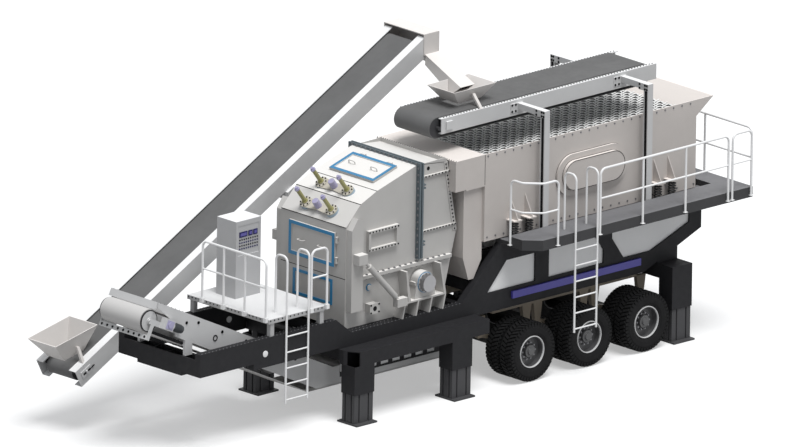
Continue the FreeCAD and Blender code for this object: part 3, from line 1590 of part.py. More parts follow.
return_tail_drum = return_point(return_tail_along, return_drum_up)
return_head_drum = return_point(return_head_along, return_drum_up)
return_belt = belt(return_tail_drum, return_drum_radius, return_slope, return_head_drum, return_drum_radius,
                   return_slope, return_mid_y - return_belt_width / 2, return_mid_y + return_belt_width / 2)
top_front_drum = (top_front_x - 30, top_drum_z)
top_rear_drum = (top_rear_x - 260, top_drum_z)
top_belt = belt(top_front_drum, top_drum_radius, 0, top_rear_drum, top_drum_radius, 0,
                -top_belt_half_width, top_belt_half_width)
node("conveyor_belts", [main_belt, return_belt, top_belt])


def drum(centre, radius, y0, y1, journal0, journal1):
    """A drum on a thinner shaft whose ends reach the side members."""
    return fuse([disc_y(centre[0], centre[1], radius, y0, y1),
                 disc_y(centre[0], centre[1], shaft_end_radius, journal0, journal1)])


belt_seat = 0.3
return_inner = (return_near_y + channel_web, return_far_y - channel_web)
top_inner = top_half_width - channel_web
node("conveyor_drums", [
    drum(main_head_drum, main_drum_radius - belt_seat, -main_belt_half_width - 25, main_belt_half_width + 25,
         -main_plate_inner, main_plate_inner),
    drum(main_tail_drum, main_tail_radius - belt_seat, -main_belt_half_width, main_belt_half_width,
         -main_plate_inner, main_plate_inner),
    drum(return_tail_drum, return_drum_radius - belt_seat, return_mid_y - return_belt_width / 2,
         return_mid_y + return_belt_width / 2, *return_inner),
    drum(return_head_drum, return_drum_radius - belt_seat, return_mid_y - return_belt_width / 2,
         return_mid_y + return_belt_width / 2, *return_inner),
    drum(top_front_drum, top_drum_radius - belt_seat, -top_belt_half_width, top_belt_half_width,
         -top_inner, top_inner),
    drum(top_rear_drum, top_drum_radius - belt_seat, -top_belt_half_width, top_belt_half_width,
         -top_inner, top_inner),
])

# Hoppers, head box and cross chute


def hopper_core(centre, top_size, foot_size_xy, height, shrink):
    """The four-sided space of a hopper, shrunk all round by a wall."""
    rings = []
    for (sx, sy), z in ((foot_size_xy, centre.z), (top_size, centre.z + height)):
        half_x, half_y = sx / 2 - shrink, sy / 2 - shrink
        corners = [V(centre.x + a * half_x, centre.y + b * half_y, z)
                   for a, b in ((-1, -1), (1, -1), (1, 1), (-1, 1))]
        rings.append(Part.makePolygon(corners + corners[:1]))
    return Part.makeLoft(rings, True, True)


def open_hopper(centre, top_size, foot_size_xy, height, wall):
    """A four-sided hopper, open at its rim and its foot, from its foot upwards."""
    outside = hopper_core(centre, top_size, foot_size_xy, height, 0)
    return outside.cut(hopper_core(centre, top_size, foot_size_xy, height, wall))


hopper_wall = 15.0
tail_hopper_along = 300.0
tail_hopper_tilt = 12.0
hopper_lift = 60.0
tail_hopper_base = return_point(tail_hopper_along, return_channel_height + hopper_lift)
tail_hopper_foot = V(tail_hopper_base[0], return_mid_y, tail_hopper_base[1])
tail_hopper_size = ((1040.0, 720.0), (480.0, 420.0), 420.0)
tail_hopper = open_hopper(tail_hopper_foot, *tail_hopper_size, hopper_wall)
tail_hopper_core = hopper_core(tail_hopper_foot, *tail_hopper_size, hopper_wall)
for piece in (tail_hopper, tail_hopper_core):
    piece.rotate(tail_hopper_foot, V(0, 1, 0), -tail_hopper_tilt)
bracket_length = 60.0
bracket_width = 50.0


def hopper_brackets(x, mid_y, seat_half, seat_z, wall_half, wall_z):
    """Two slanting brackets from the side members up to a hopper's sides."""
    brackets = []
    for side in (-1, 1):
        brackets.append(prism_x([
            (mid_y + side * seat_half, seat_z), (mid_y + side * (seat_half - bracket_width), seat_z),
            (mid_y + side * wall_half, wall_z), (mid_y + side * (wall_half + bracket_width), wall_z),
        ], x - bracket_length / 2, x + bracket_length / 2))
    return brackets


def return_topside(x):
    """Height of the return conveyor's upper flanges above a place along the trailer."""
    corner_x, corner_z = return_point(0, return_channel_height)
    return corner_z + (x - corner_x) * math.tan(return_slope)


tail_brackets = hopper_brackets(tail_hopper_foot.x, return_mid_y, return_width / 2 - 20,
                                return_topside(tail_hopper_foot.x) - 40, 270, tail_hopper_foot.z + 180)
tail_brackets = [piece.cut(return_frame[:2]) for piece in tail_brackets]
tail_hopper = fuse([tail_hopper] + [piece.cut(tail_hopper_core) for piece in tail_brackets])
top_hopper_foot = V(top_hopper_x, 0, top_channel_bottom + top_channel_height + 80)
top_hopper_size = ((1020.0, 700.0), (560.0, 420.0), 260.0)
top_hopper = open_hopper(top_hopper_foot, *top_hopper_size, hopper_wall)
top_hopper_core = hopper_core(top_hopper_foot, *top_hopper_size, hopper_wall)
top_brackets = hopper_brackets(top_hopper_foot.x, 0, top_half_width - 5, top_channel_bottom + top_channel_height,
                               270, top_hopper_foot.z + 150)
top_hopper = fuse([top_hopper] + [piece.cut(top_hopper_core) for piece in top_brackets])
head_box_front = 7250.0
head_box_length = 370.0
head_box_bottom = 5330.0
head_box_top = 5720.0
head_box_rear = head_box_front + head_box_length
head_box = box(head_box_front, head_box_rear, return_near_y - hopper_wall, return_far_y + hopper_wall,
               head_box_bottom, head_box_top)
head_box = head_box.cut(box(head_box_front, head_box_rear - hopper_wall,
                            return_near_y, return_far_y, head_box_bottom, head_box_top - hopper_wall))

# Cross chute: a boot below the head box, and a closed duct from it down into the top hopper

duct_width = 340.0
duct_height = 190.0
duct_overlap = 20.0
duct_end_y = -150.0
duct_end_x = 6730.0
duct_end_rise = 420.0
duct_end_slant = 250.0
duct_end_bottom = top_channel_bottom + duct_end_rise
duct_start_y = return_near_y - hopper_wall
duct_start_x = head_box_rear - duct_width
duct_start_bottom = head_box_bottom + duct_overlap - duct_height
notch_clearance = 6.0
boot_front = return_tail_x + return_length * math.cos(return_slope) + notch_clearance


def duct(shrink):
    """The duct's outline, shrunk all round, from the boot down into the hopper."""
    rings = []
    for y, slant, x, z in ((duct_start_y, 0, duct_start_x, duct_start_bottom),
                           (duct_end_y, duct_end_slant, duct_end_x, duct_end_bottom)):
        corners = [V(x + shrink, y + slant, z + shrink), V(x + duct_width - shrink, y + slant, z + shrink),
                   V(x + duct_width - shrink, y, z + duct_height - shrink),
                   V(x + shrink, y, z + duct_height - shrink)]
        rings.append(Part.makePolygon(corners + corners[:1]))
    return Part.makeLoft(rings, True, True)


boot = box(boot_front, head_box_rear, duct_start_y, return_far_y + hopper_wall,
           duct_start_bottom, head_box_bottom)
boot = boot.cut(box(boot_front + hopper_wall, head_box_rear - hopper_wall, duct_start_y,
                    return_far_y, duct_start_bottom + hopper_wall, head_box_bottom))
throat = box(boot_front + hopper_wall, head_box_rear - hopper_wall, duct_start_y, return_near_y,
             head_box_bottom, head_box_bottom + duct_overlap - hopper_wall)
head_box = fuse([head_box.cut(throat), boot, duct(0).cut(duct(hopper_wall))])
top_hopper = top_hopper.cut(duct(-notch_clearance))
node("conveyor_hoppers", [tail_hopper, top_hopper, head_box])

# Each piece is written with the underside of the coupling plate at height zero

for name, shapes in nodes.items():
    solids = [solid for shape in shapes for solid in shape.Solids]
    whole = Part.makeCompound(solids)
    whole.translate(V(0, 0, -coupling_height))
    whole.exportStep("parts/" + name + ".step")
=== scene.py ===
"""Looks of a trailer-mounted impact crusher around its fixed frame. Metres, heights from the coupling plate."""

import logging
import math
from dataclasses import dataclass
from enum import Enum
from typing import Callable, Dict, Iterable, List, Sequence, Tuple

import bmesh
import bpy
from mathutils import Matrix, Vector


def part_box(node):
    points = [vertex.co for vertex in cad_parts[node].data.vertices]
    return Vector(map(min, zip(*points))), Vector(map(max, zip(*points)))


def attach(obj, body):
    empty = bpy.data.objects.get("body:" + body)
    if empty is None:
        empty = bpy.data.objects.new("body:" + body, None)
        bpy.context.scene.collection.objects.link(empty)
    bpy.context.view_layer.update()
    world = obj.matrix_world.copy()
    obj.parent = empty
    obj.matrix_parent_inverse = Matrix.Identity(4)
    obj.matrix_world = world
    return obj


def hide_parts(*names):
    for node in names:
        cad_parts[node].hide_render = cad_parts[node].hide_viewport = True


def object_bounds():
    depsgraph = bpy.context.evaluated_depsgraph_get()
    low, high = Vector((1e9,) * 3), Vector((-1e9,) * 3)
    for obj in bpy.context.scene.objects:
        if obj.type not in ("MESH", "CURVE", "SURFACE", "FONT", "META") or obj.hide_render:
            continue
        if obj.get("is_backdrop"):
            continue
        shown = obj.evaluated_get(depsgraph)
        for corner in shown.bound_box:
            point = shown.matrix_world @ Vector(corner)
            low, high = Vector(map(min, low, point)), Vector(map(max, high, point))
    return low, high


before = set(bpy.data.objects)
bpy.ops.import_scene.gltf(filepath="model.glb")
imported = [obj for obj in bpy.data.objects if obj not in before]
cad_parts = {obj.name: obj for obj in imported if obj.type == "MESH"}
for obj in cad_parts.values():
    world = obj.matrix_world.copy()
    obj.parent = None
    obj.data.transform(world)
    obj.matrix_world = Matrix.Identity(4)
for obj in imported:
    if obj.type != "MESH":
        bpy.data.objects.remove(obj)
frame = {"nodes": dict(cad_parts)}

LOG = logging.getLogger("impact_crusher")

Colour = Tuple[float, float, float]
Point = Tuple[float, float, float]
Line = Tuple[Sequence[float], Sequence[float], Sequence[float]]
Profile = Sequence[Tuple[float, float]]
Socket = bpy.types.NodeSocket

GROUND = -1.4
FIXED_BODY = "plant"
AXLES = (1, 2, 3)
ACROSS = Vector((0, 1, 0))
SMOOTH_ANGLE = math.radians(35)


class Side(Enum):
    """The two long sides of the plant; the value is the side's direction along Y."""

    NEAR = -1
    FAR = 1

    @property
    def out(self) -> Vector:
        """The direction away from the plant."""
        return ACROSS * self.value

    def name_of(self, piece: str) -> str:
        """The name of this side's one of a pair of pieces."""
        return f"{piece}_{self.name.lower()}"


class Texture(Enum):
    """Fine surface relief of a finish."""

    SPRAYED = "sprayed"
    ROLLED = "rolled"
    RUBBER = "rubber"
    TREADPLATE = "treadplate"


@dataclass(frozen=True)
class Relief:
    """How fine, how deep and how uneven a surface is."""

    scale: float
    depth: float
    mottle: float


RELIEFS: Dict[Texture, Relief] = {
    Texture.SPRAYED: Relief(scale=140.0, depth=0.0004, mottle=0.035),
    Texture.ROLLED: Relief(scale=60.0, depth=0.0006, mottle=0.09),
    Texture.RUBBER: Relief(scale=220.0, depth=0.0008, mottle=0.08),
    Texture.TREADPLATE: Relief(scale=26.0, depth=0.0030, mottle=0.06),
}


class Nodes:
    """A node tree under construction."""

    def __init__(self, tree: bpy.types.NodeTree) -> None:
        """Take up a tree."""
        self.tree = tree

    def feed(self, value: object, target: Socket) -> None:
        """Link an output socket to an input, or set the input to a fixed value.

        Args:
            value: output socket or fixed value.
            target: the input.
        """
        if isinstance(value, Socket):
            self.tree.links.new(value, target)
        else:
            target.default_value = value

    def node(self, kind: str, wiring: Dict[object, object], **settings: object) -> bpy.types.Node:
        """Add one node.

        Args:
            kind: Blender's name of the node type.
            wiring: input name or index to an output socket or a fixed value.
            settings: settings of the node itself.

        Returns:
            The new node.
        """
        node = self.tree.nodes.new(kind)
        for key, value in settings.items():
            setattr(node, key, value)
        for key, value in wiring.items():
            self.feed(value, node.inputs[key])
        return node

    def step(self, kind: str, wiring: Dict[object, object], **settings: object) -> Socket:
        """Add one node, as node() does, and return its first output."""
        return self.node(kind, wiring, **settings).outputs[0]

    def math(self, operation: str, first: object, second: object = 0.0) -> Socket:
        """A sum, product or other function of one or two values."""
        return self.step("ShaderNodeMath", {0: first, 1: second}, operation=operation)

    def show_white(self, shaded: Socket, plain: Socket, target: Socket) -> None:
        """Show one shader to camera, mirror and glass rays, and another to all others.

        Args:
            shaded: shader that lights the scene.
            plain: shader that is seen.
            target: where the two go.
        """
        rays = self.node("ShaderNodeLightPath", {})
        share = rays.outputs["Is Camera Ray"]
        for label in ("Is Glossy Ray", "Is Transmission Ray"):
            share = self.math("MAXIMUM", share, rays.outputs[label])
        self.feed(self.step("ShaderNodeMixShader", {0: share, 1: shaded, 2: plain}), target)


class Shading(Nodes):
    """The tree of one material, which ends in a Principled shader."""

    def __init__(self, name: str) -> None:
        """Start the material."""
        self.material = bpy.data.materials.new(name)
        self.material.use_nodes = True
        super().__init__(self.material.node_tree)
        self.shader = self.tree.nodes["Principled BSDF"]
        self.coordinates = self.node("ShaderNodeTexCoord", {}).outputs

    def set(self, **inputs: object) -> None:
        """Set or link inputs of the Principled shader, with underscores for spaces."""
        for key, value in inputs.items():
            self.feed(value, self.shader.inputs[key.replace("_", " ")])

    def split(self, coordinates: str) -> Sequence[Socket]:
        """The three parts of a kind of texture coordinate."""
        return self.node("ShaderNodeSeparateXYZ", {"Vector": self.coordinates[coordinates]}).outputs

    def noise(self, scale: float, detail: float = 3.0) -> Socket:
        """Three-dimensional noise over the object's own coordinates.

        Args:
            scale: how fine the noise is.
            detail: how many finer layers it has.

        Returns:
            The value, from 0 to 1.
        """
        return self.step("ShaderNodeTexNoise",
                         {"Vector": self.coordinates["Object"], "Scale": scale, "Detail": detail})

    def spread(self, source: Socket, low: float, high: float, start: float = 0.3, end: float = 0.7) -> Socket:
        """Map a value between start and end onto low to high, clamped.

        Args:
            source: the value.
            low: result at the start.
            high: result at the end.
            start: value that gives the low result.
            end: value that gives the high result.

        Returns:
            The mapped value.
        """
        return self.step("ShaderNodeMapRange", {
            "Value": source, "From Min": start, "From Max": end, "To Min": low, "To Max": high})

    def mix(self, share: Socket, first: object, second: object) -> Socket:
        """Mix two colours, each a fixed colour or a socket, by a share."""
        return self.node("ShaderNodeMix", {0: share, 6: first, 7: second}, data_type="RGBA").outputs[2]

    def upward(self) -> Socket:
        """How far a face looks up, from 0 on upright faces to 1 on level ones; this is the share of painted top light.
        """
        return self.spread(self.split("Normal")["Z"], 0.0, 1.0, 0.45, 0.90)


@dataclass(frozen=True)
class Finish:
    """A painted, steel or rubber surface with uneven colour, gloss and fine relief, and painted light on upward faces
    where top is set.
    """

    name: str
    colour: Colour
    roughness: float
    texture: Texture = Texture.SPRAYED
    metallic: float = 0.0
    # Painted light: top is the colour factor on upward faces, lighter as if lit from above; 1.0 paints none.
    top: float = 1.0
    specular: float = 0.5

    def material(self) -> bpy.types.Material:
        """Build the material, or return the one that is already built."""
        return bpy.data.materials.get(self.name) or self.build()

    def shaded(self, factor: float) -> Tuple[float, ...]:
        """The finish's colour made darker or lighter, with its alpha."""
        return (*(min(1.0, channel * factor) for channel in self.colour), 1.0)

    def tint(self, shading: Shading) -> Socket:
        """Mottled colour, with painted light on upward faces where top is set: a lighter colour that stands for light
        from above.

        Args:
            shading: the material's tree.

        Returns:
            The colour.
        """
        mottle = RELIEFS[self.texture].mottle
        patches = shading.spread(shading.noise(1.7), 0.0, 1.0)
        colour = shading.mix(patches, self.shaded(1 - mottle), self.shaded(1 + mottle))
        # Painted light: upward faces take the colour times top, as if lit from above.
        if self.top != 1.0:
            colour = shading.mix(shading.upward(), colour, self.shaded(self.top))
        return colour

    def build(self) -> bpy.types.Material:
        """Build the tree of colour, gloss and relief.

        Returns:
            The material.
        """
        relief = RELIEFS[self.texture]
        shading = Shading(self.name)
        bump = shading.step("ShaderNodeBump", {"Strength": 0.6, "Distance": relief.depth,
                                               "Height": shading.noise(relief.scale, 4.0)})
        gloss = shading.spread(shading.noise(9.0), self.roughness - 0.06, self.roughness + 0.06)
        shading.set(Base_Color=self.tint(shading), Roughness=gloss, Metallic=self.metallic,
                    Specular_IOR_Level=self.specular, Normal=bump)
        return shading.material


@dataclass(frozen=True)
class BeltFinish(Finish):
    """Belt rubber that is pale on the long main belt and grey on the two others."""

    pale: Colour = (0.54, 0.53, 0.52)
    pale_half_width: float = 0.56
    pale_top: float = 1.45

    def tint(self, shading: Shading) -> Socket:
        """The rubber's colour, with the pale one over the main belt's place.

        Args:
            shading: the material's tree.

        Returns:
            The colour.
        """
        place = shading.split("Object")
        inside = shading.math("MULTIPLY", shading.math("LESS_THAN", place["Y"], self.pale_half_width),
                              shading.math("LESS_THAN", place["Z"], self.pale_top))
        return shading.mix(inside, super().tint(shading), (*self.pale, 1.0))


@dataclass(frozen=True)
class FloorFinish(Finish):
    """A floor that is seen white with a light shadow and throws little light back up."""

    bounce: float = 0.35
    glow: float = 0.40

    def build(self) -> bpy.types.Material:
        """Build a white matt shader for the camera and a darker one for the light in the scene.

        Returns:
            The material.
        """
        shading = Shading(self.name)
        white = self.colour[0]
        matt = shading.step("ShaderNodeBsdfDiffuse",
                            {"Color": shading.spread(shading.noise(0.3), white - 0.004, white)})
        lit = shading.step("ShaderNodeEmission", {"Strength": 1.0})
        seen = shading.step("ShaderNodeMixShader", {0: self.glow, 1: matt, 2: lit})
        shading.set(Base_Color=(self.bounce, self.bounce, self.bounce, 1.0), Roughness=self.roughness)
        shading.show_white(shading.shader.outputs["BSDF"], seen,
                           shading.tree.nodes["Material Output"].inputs["Surface"])
        return shading.material


# Painted light: the top factors below lighten the upward faces of crusher, screen box, walkway, cabinet, platform,
# conveyor frames and hoppers, as if lit from above.
CHARCOAL = Finish("charcoal_paint", (0.019, 0.019, 0.021), 0.60, specular=0.15)
LEG_PAINT = Finish("leg_grey_paint", (0.062, 0.062, 0.065), 0.55, specular=0.2)
PANEL_GREY = Finish("panel_grey_paint", (0.85, 0.85, 0.85), 0.45)
STRIP_VIOLET = Finish("violet_blue_paint", (0.070, 0.060, 0.36), 0.40)
CRUSHER_GREY = Finish("crusher_grey_paint", (0.445, 0.435, 0.420), 0.45, top=1.75)
FLANGE_SLATE = Finish("flange_slate_paint", (0.085, 0.110, 0.125), 0.45)
DOOR_BLUE = Finish("door_frame_blue_paint", (0.020, 0.190, 0.380), 0.40)
ROD_OLIVE = Finish("olive_paint", (0.30, 0.285, 0.12), 0.40)
LILAC = Finish("lilac_paint", (0.36, 0.34, 0.50), 0.40)
BEIGE = Finish("screen_beige_paint", (0.51, 0.475, 0.450), 0.50, top=1.60)
SPRING_BEAM = Finish("spring_beam_paint", (0.30, 0.255, 0.200), 0.50)
DECK_GREY = Finish("deck_grey_paint", (0.045, 0.045, 0.047), 0.55, Texture.TREADPLATE, top=4.0, specular=0.2)
RAIL_PALE = Finish("rail_pale_paint", (0.82, 0.82, 0.82), 0.40)
CABINET_GREY = Finish("cabinet_grey_paint", (0.42, 0.42, 0.425), 0.40, top=2.0)
PLATFORM_PALE = Finish("platform_pale_paint", (0.40, 0.40, 0.40), 0.50, Texture.TREADPLATE, top=1.8)
FRAME_GREY = Finish("conveyor_grey_paint", (0.53, 0.53, 0.53), 0.45, top=1.60)
BELT = BeltFinish("worn_belt_rubber", (0.120, 0.120, 0.120), 0.75, Texture.RUBBER, specular=0.3)
DRUM_DARK = Finish("drum_lagging", (0.040, 0.040, 0.043), 0.60, Texture.RUBBER, specular=0.2)
TYRE = Finish("tyre_rubber", (0.012, 0.012, 0.0125), 0.85, Texture.RUBBER, specular=0.15)
RIM = Finish("rim_dark_paint", (0.075, 0.075, 0.077), 0.40)
RIM_BRIGHT = Finish("bright_rim_ring", (0.60, 0.60, 0.60), 0.35)
AXLE_STEEL = Finish("axle_paint", (0.030, 0.030, 0.031), 0.55, Texture.ROLLED, specular=0.2)
WORN_STEEL = Finish("worn_steel", (0.33, 0.33, 0.34), 0.35, Texture.ROLLED, metallic=0.8)
BOLT_STEEL = Finish("zinc_bolts", (0.20, 0.20, 0.21), 0.38, metallic=0.4)
SPRING_BLACK = Finish("spring_black_paint", (0.020, 0.020, 0.022), 0.45, specular=0.3)
HOPPER_BEIGE = Finish("hopper_beige_paint", (0.57, 0.545, 0.525), 0.45, top=1.4)
ROD_PLATE = Finish("rod_plate_paint", (0.52, 0.49, 0.42), 0.45)
BOSS_PALE = Finish("boss_pale_paint", (0.78, 0.78, 0.78), 0.40)
WIRE = Finish("woven_wire", (0.80, 0.80, 0.79), 0.45, Texture.ROLLED)
# Painted shadow: the screen deck plate is near black to stand for the shade beneath the woven wire.
SHADOW_PLATE = Finish("painted_shadow_deck_plate", (0.006, 0.006, 0.006), 0.90, Texture.ROLLED, specular=0.05)
SEAT_BLUE = Finish("seat_steel_blue_paint", (0.30, 0.38, 0.45), 0.40)
# Dark paint of seams, bolts and buttons, and also painted shade inside holes, slots and the recessed webs of the
# portal posts.
DARK_PAINT_AND_SHADE = Finish("dark_paint_and_painted_shade", (0.008, 0.008, 0.009), 0.70, specular=0.1)
BUTTON_NAVY = Finish("button_navy", (0.014, 0.013, 0.085), 0.40, specular=0.2)
SCREEN_BLUE = Finish("display_blue", (0.115, 0.105, 0.330), 0.30, specular=0.2)
MOTOR_TEAL = Finish("gearbox_dark_paint", (0.050, 0.055, 0.060), 0.45, specular=0.3)

NODE_FINISHES: Dict[Finish, Tuple[str, ...]] = {
    CHARCOAL: ("main_girders", "chassis_cross_members", "front_frame", "outrigger_sills",
               "leg_sleeves", "rear_beam"),
    PANEL_GREY: ("window_panels",),
    STRIP_VIOLET: ("side_strips",),
    CRUSHER_GREY: ("crusher_front", "crusher_roof", "crusher_back", "crusher_side_walls",
                   "corner_pillars", "base_cheeks", "base_ends", "bearing_housings", "front_door",
                   "roof_hatch", "opening_cylinders"),
    FLANGE_SLATE: ("housing_flange",),
    ROD_OLIVE: ("adjusting_rods",),
    WORN_STEEL: ("rotor",),
    BEIGE: ("screen_box", "feed_chute"),
    SHADOW_PLATE: ("screen_deck",),
    DECK_GREY: ("walkway",),
    PLATFORM_PALE: ("lower_platform",),
    RAIL_PALE: ("walkway_railings", "ladders", "platform_railings"),
    CABINET_GREY: ("control_cabinet",),
    FRAME_GREY: ("main_conveyor_frame", "return_conveyor_frame", "return_conveyor_supports",
                 "top_conveyor_frame", "portal_frames"),
    HOPPER_BEIGE: ("conveyor_hoppers",),
    BELT: ("conveyor_belts",),
    DRUM_DARK: ("conveyor_drums",),
    AXLE_STEEL: ("axles",),
    SPRING_BEAM: ("suspension",),
    SPRING_BLACK: ("screen_springs",),
}


def show(name: str, data: bpy.types.ID) -> bpy.types.Object:
    """Put an object with this data into the scene.

    Args:
        name: the object's name.
        data: its mesh, camera or lamp.

    Returns:
        The new object.
    """
    made = bpy.data.objects.new(name, data)
    bpy.context.scene.collection.objects.link(made)
    return made


def smooth_over(data: bpy.types.Mesh) -> None:
    """Shade round surfaces smoothly and keep sharp edges."""
    data.shade_smooth()
    data.set_sharp_from_angle(angle=SMOOTH_ANGLE)


def circle(first: Vector, second: Vector, steps: int) -> List[Vector]:
    """Unit spokes of a circle in the plane of two directions.

    Args:
        first: direction of the first spoke.
        second: direction of the spoke a quarter turn on.
        steps: number of spokes.

    Returns:
        The spokes in order.
    """
    angles = (2 * math.pi * step / steps for step in range(steps))
    return [first * math.cos(angle) + second * math.sin(angle) for angle in angles]


class Draft:
    """A mesh under construction, drawn in the frame's own coordinates."""

    def __init__(self) -> None:
        """Start with an empty mesh."""
        self.mesh = bmesh.new()

    def corners(self, places: Iterable[Vector]) -> List[bmesh.types.BMVert]:
        """New corners at some places."""
        return [self.mesh.verts.new(place) for place in places]

    def bridge(self, rings: Sequence[Sequence[bmesh.types.BMVert]]) -> None:
        """Close the strips between rings of corners, where a ring may be a single point.

        Args:
            rings: the rings in order.
        """
        for first, second in zip(rings, rings[1:]):
            steps = max(len(first), len(second))
            for step in range(steps):
                after = (step + 1) % steps
                quad = [first[step % len(first)], first[after % len(first)],
                        second[after % len(second)], second[step % len(second)]]
                unique = list(dict.fromkeys(quad))
                if len(unique) > 2:
                    self.mesh.faces.new(unique)

    def prism(self, outline: Sequence[Vector], reach: Vector) -> None:
        """Add a closed prism from a flat outline pushed along a vector.

        Args:
            outline: corners of one end.
            reach: way from that end to the other.
        """
        rings = [self.corners(outline), self.corners(point + reach for point in outline)]
        self.mesh.faces.new(rings[0][::-1])
        self.mesh.faces.new(rings[1])
        self.bridge(rings)

    def box(self, one: Sequence[float], other: Sequence[float]) -> None:
        """Add a box between two opposite corners.

        Args:
            one: a corner.
            other: the corner opposite to it.
        """
        (x0, x1), (y0, y1), (z0, z1) = (sorted(ends) for ends in zip(one, other))
        outline = [Vector((x, y, z0)) for x, y in ((x0, y0), (x1, y0), (x1, y1), (x0, y1))]
        self.prism(outline, Vector((0, 0, z1 - z0)))

    def lathe(self, centre: Vector, axis: Vector, profile: Profile, steps: int = 48) -> None:
        """Turn a profile about an axis.

        Args:
            centre: point on the axis where the height is zero.
            axis: direction of the axis.
            profile: radius and height pairs from one end to the other.
            steps: sides of the turned shape.
        """
        axis = axis.normalized()
        across = axis.orthogonal().normalized()
        spokes = circle(across, axis.cross(across), steps)
        self.bridge([self.corners(centre + axis * height + spoke * radius
                                  for spoke in (spokes if radius else spokes[:1]))
                     for radius, height in profile])

    def disc(self, centre: Vector, axis: Vector, radius: float, low: float, high: float, steps: int) -> None:
        """Add a round bar between two heights on an axis."""
        self.lathe(centre, axis, [(0, low), (radius, low), (radius, high), (0, high)], steps)

    def ring(self, centre: Vector, axis: Vector, radii: Tuple[float, float], low: float, high: float,
             steps: int) -> None:
        """Add a square-edged ring between two heights on an axis."""
        inner, outer = radii
        self.lathe(centre, axis, [(inner, low), (outer, low), (outer, high), (inner, high), (inner, low)], steps)

    def tube(self, path: List[Vector], radius: float, steps: int) -> None:
        """Add a bent round bar that follows a path of points.

        Args:
            path: the points.
            radius: half of its thickness.
            steps: sides of its section.
        """
        rings = []
        side = (path[1] - path[0]).orthogonal().normalized()
        for before, point, after in zip(path[:1] + path, path, path[1:] + path[-1:]):
            along = (after - before).normalized()
            side = (side - along * side.dot(along)).normalized()
            rings.append(self.corners(point + spoke * radius
                                      for spoke in circle(side, along.cross(side), steps)))
        self.bridge(rings)
        self.mesh.faces.new(rings[0][::-1])
        self.mesh.faces.new(rings[-1])

    def piece(self, name: str, finish: Finish, smooth: bool = False, bevel: float = 0.0,
              both: bool = False) -> bpy.types.Object:
        """End the draft as an object at the origin with its finish.

        Args:
            name: the object's name.
            finish: what it is painted with.
            smooth: shade round surfaces smoothly.
            bevel: width of the rounding along sharp edges, or zero.
            both: add the image of the whole mesh on the other side of the plant.

        Returns:
            The new object.
        """
        if both:
            image = bmesh.ops.duplicate(self.mesh, geom=[*self.mesh.verts, *self.mesh.edges, *self.mesh.faces])
            for corner in image["geom"]:
                if isinstance(corner, bmesh.types.BMVert):
                    corner.co.y *= -1
        bmesh.ops.recalc_face_normals(self.mesh, faces=self.mesh.faces)
        data = bpy.data.meshes.new(name)
        self.mesh.to_mesh(data)
        self.mesh.free()
        if smooth:
            smooth_over(data)
        data.materials.append(finish.material())
        made = show(name, data)
        if bevel:
            rounding = made.modifiers.new("rounding", "BEVEL")
            rounding.width = bevel
            rounding.segments = 2
            rounding.limit_method = "ANGLE"
        return made

    def put(self, name: str, finish: Finish, slot: str, body: str = FIXED_BODY, **looks: object) -> None:
        """End the draft as piece() does, and settle the object."""
        settle(self.piece(name, finish, **looks), body)


def settle(piece: bpy.types.Object, body: str, replaced: Sequence[str] = ()) -> None:
    """Let a piece ride on a body, hide what it replaces, and report it.

    Args:
        piece: the finished object.
        body: name of the CAD body it moves with.
        replaced: CAD nodes it stands for.
    """
    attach(piece, body)
    if replaced:
        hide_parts(*replaced)
    LOG.info("%s: %d faces on %s", piece.name, len(piece.data.polygons), body)


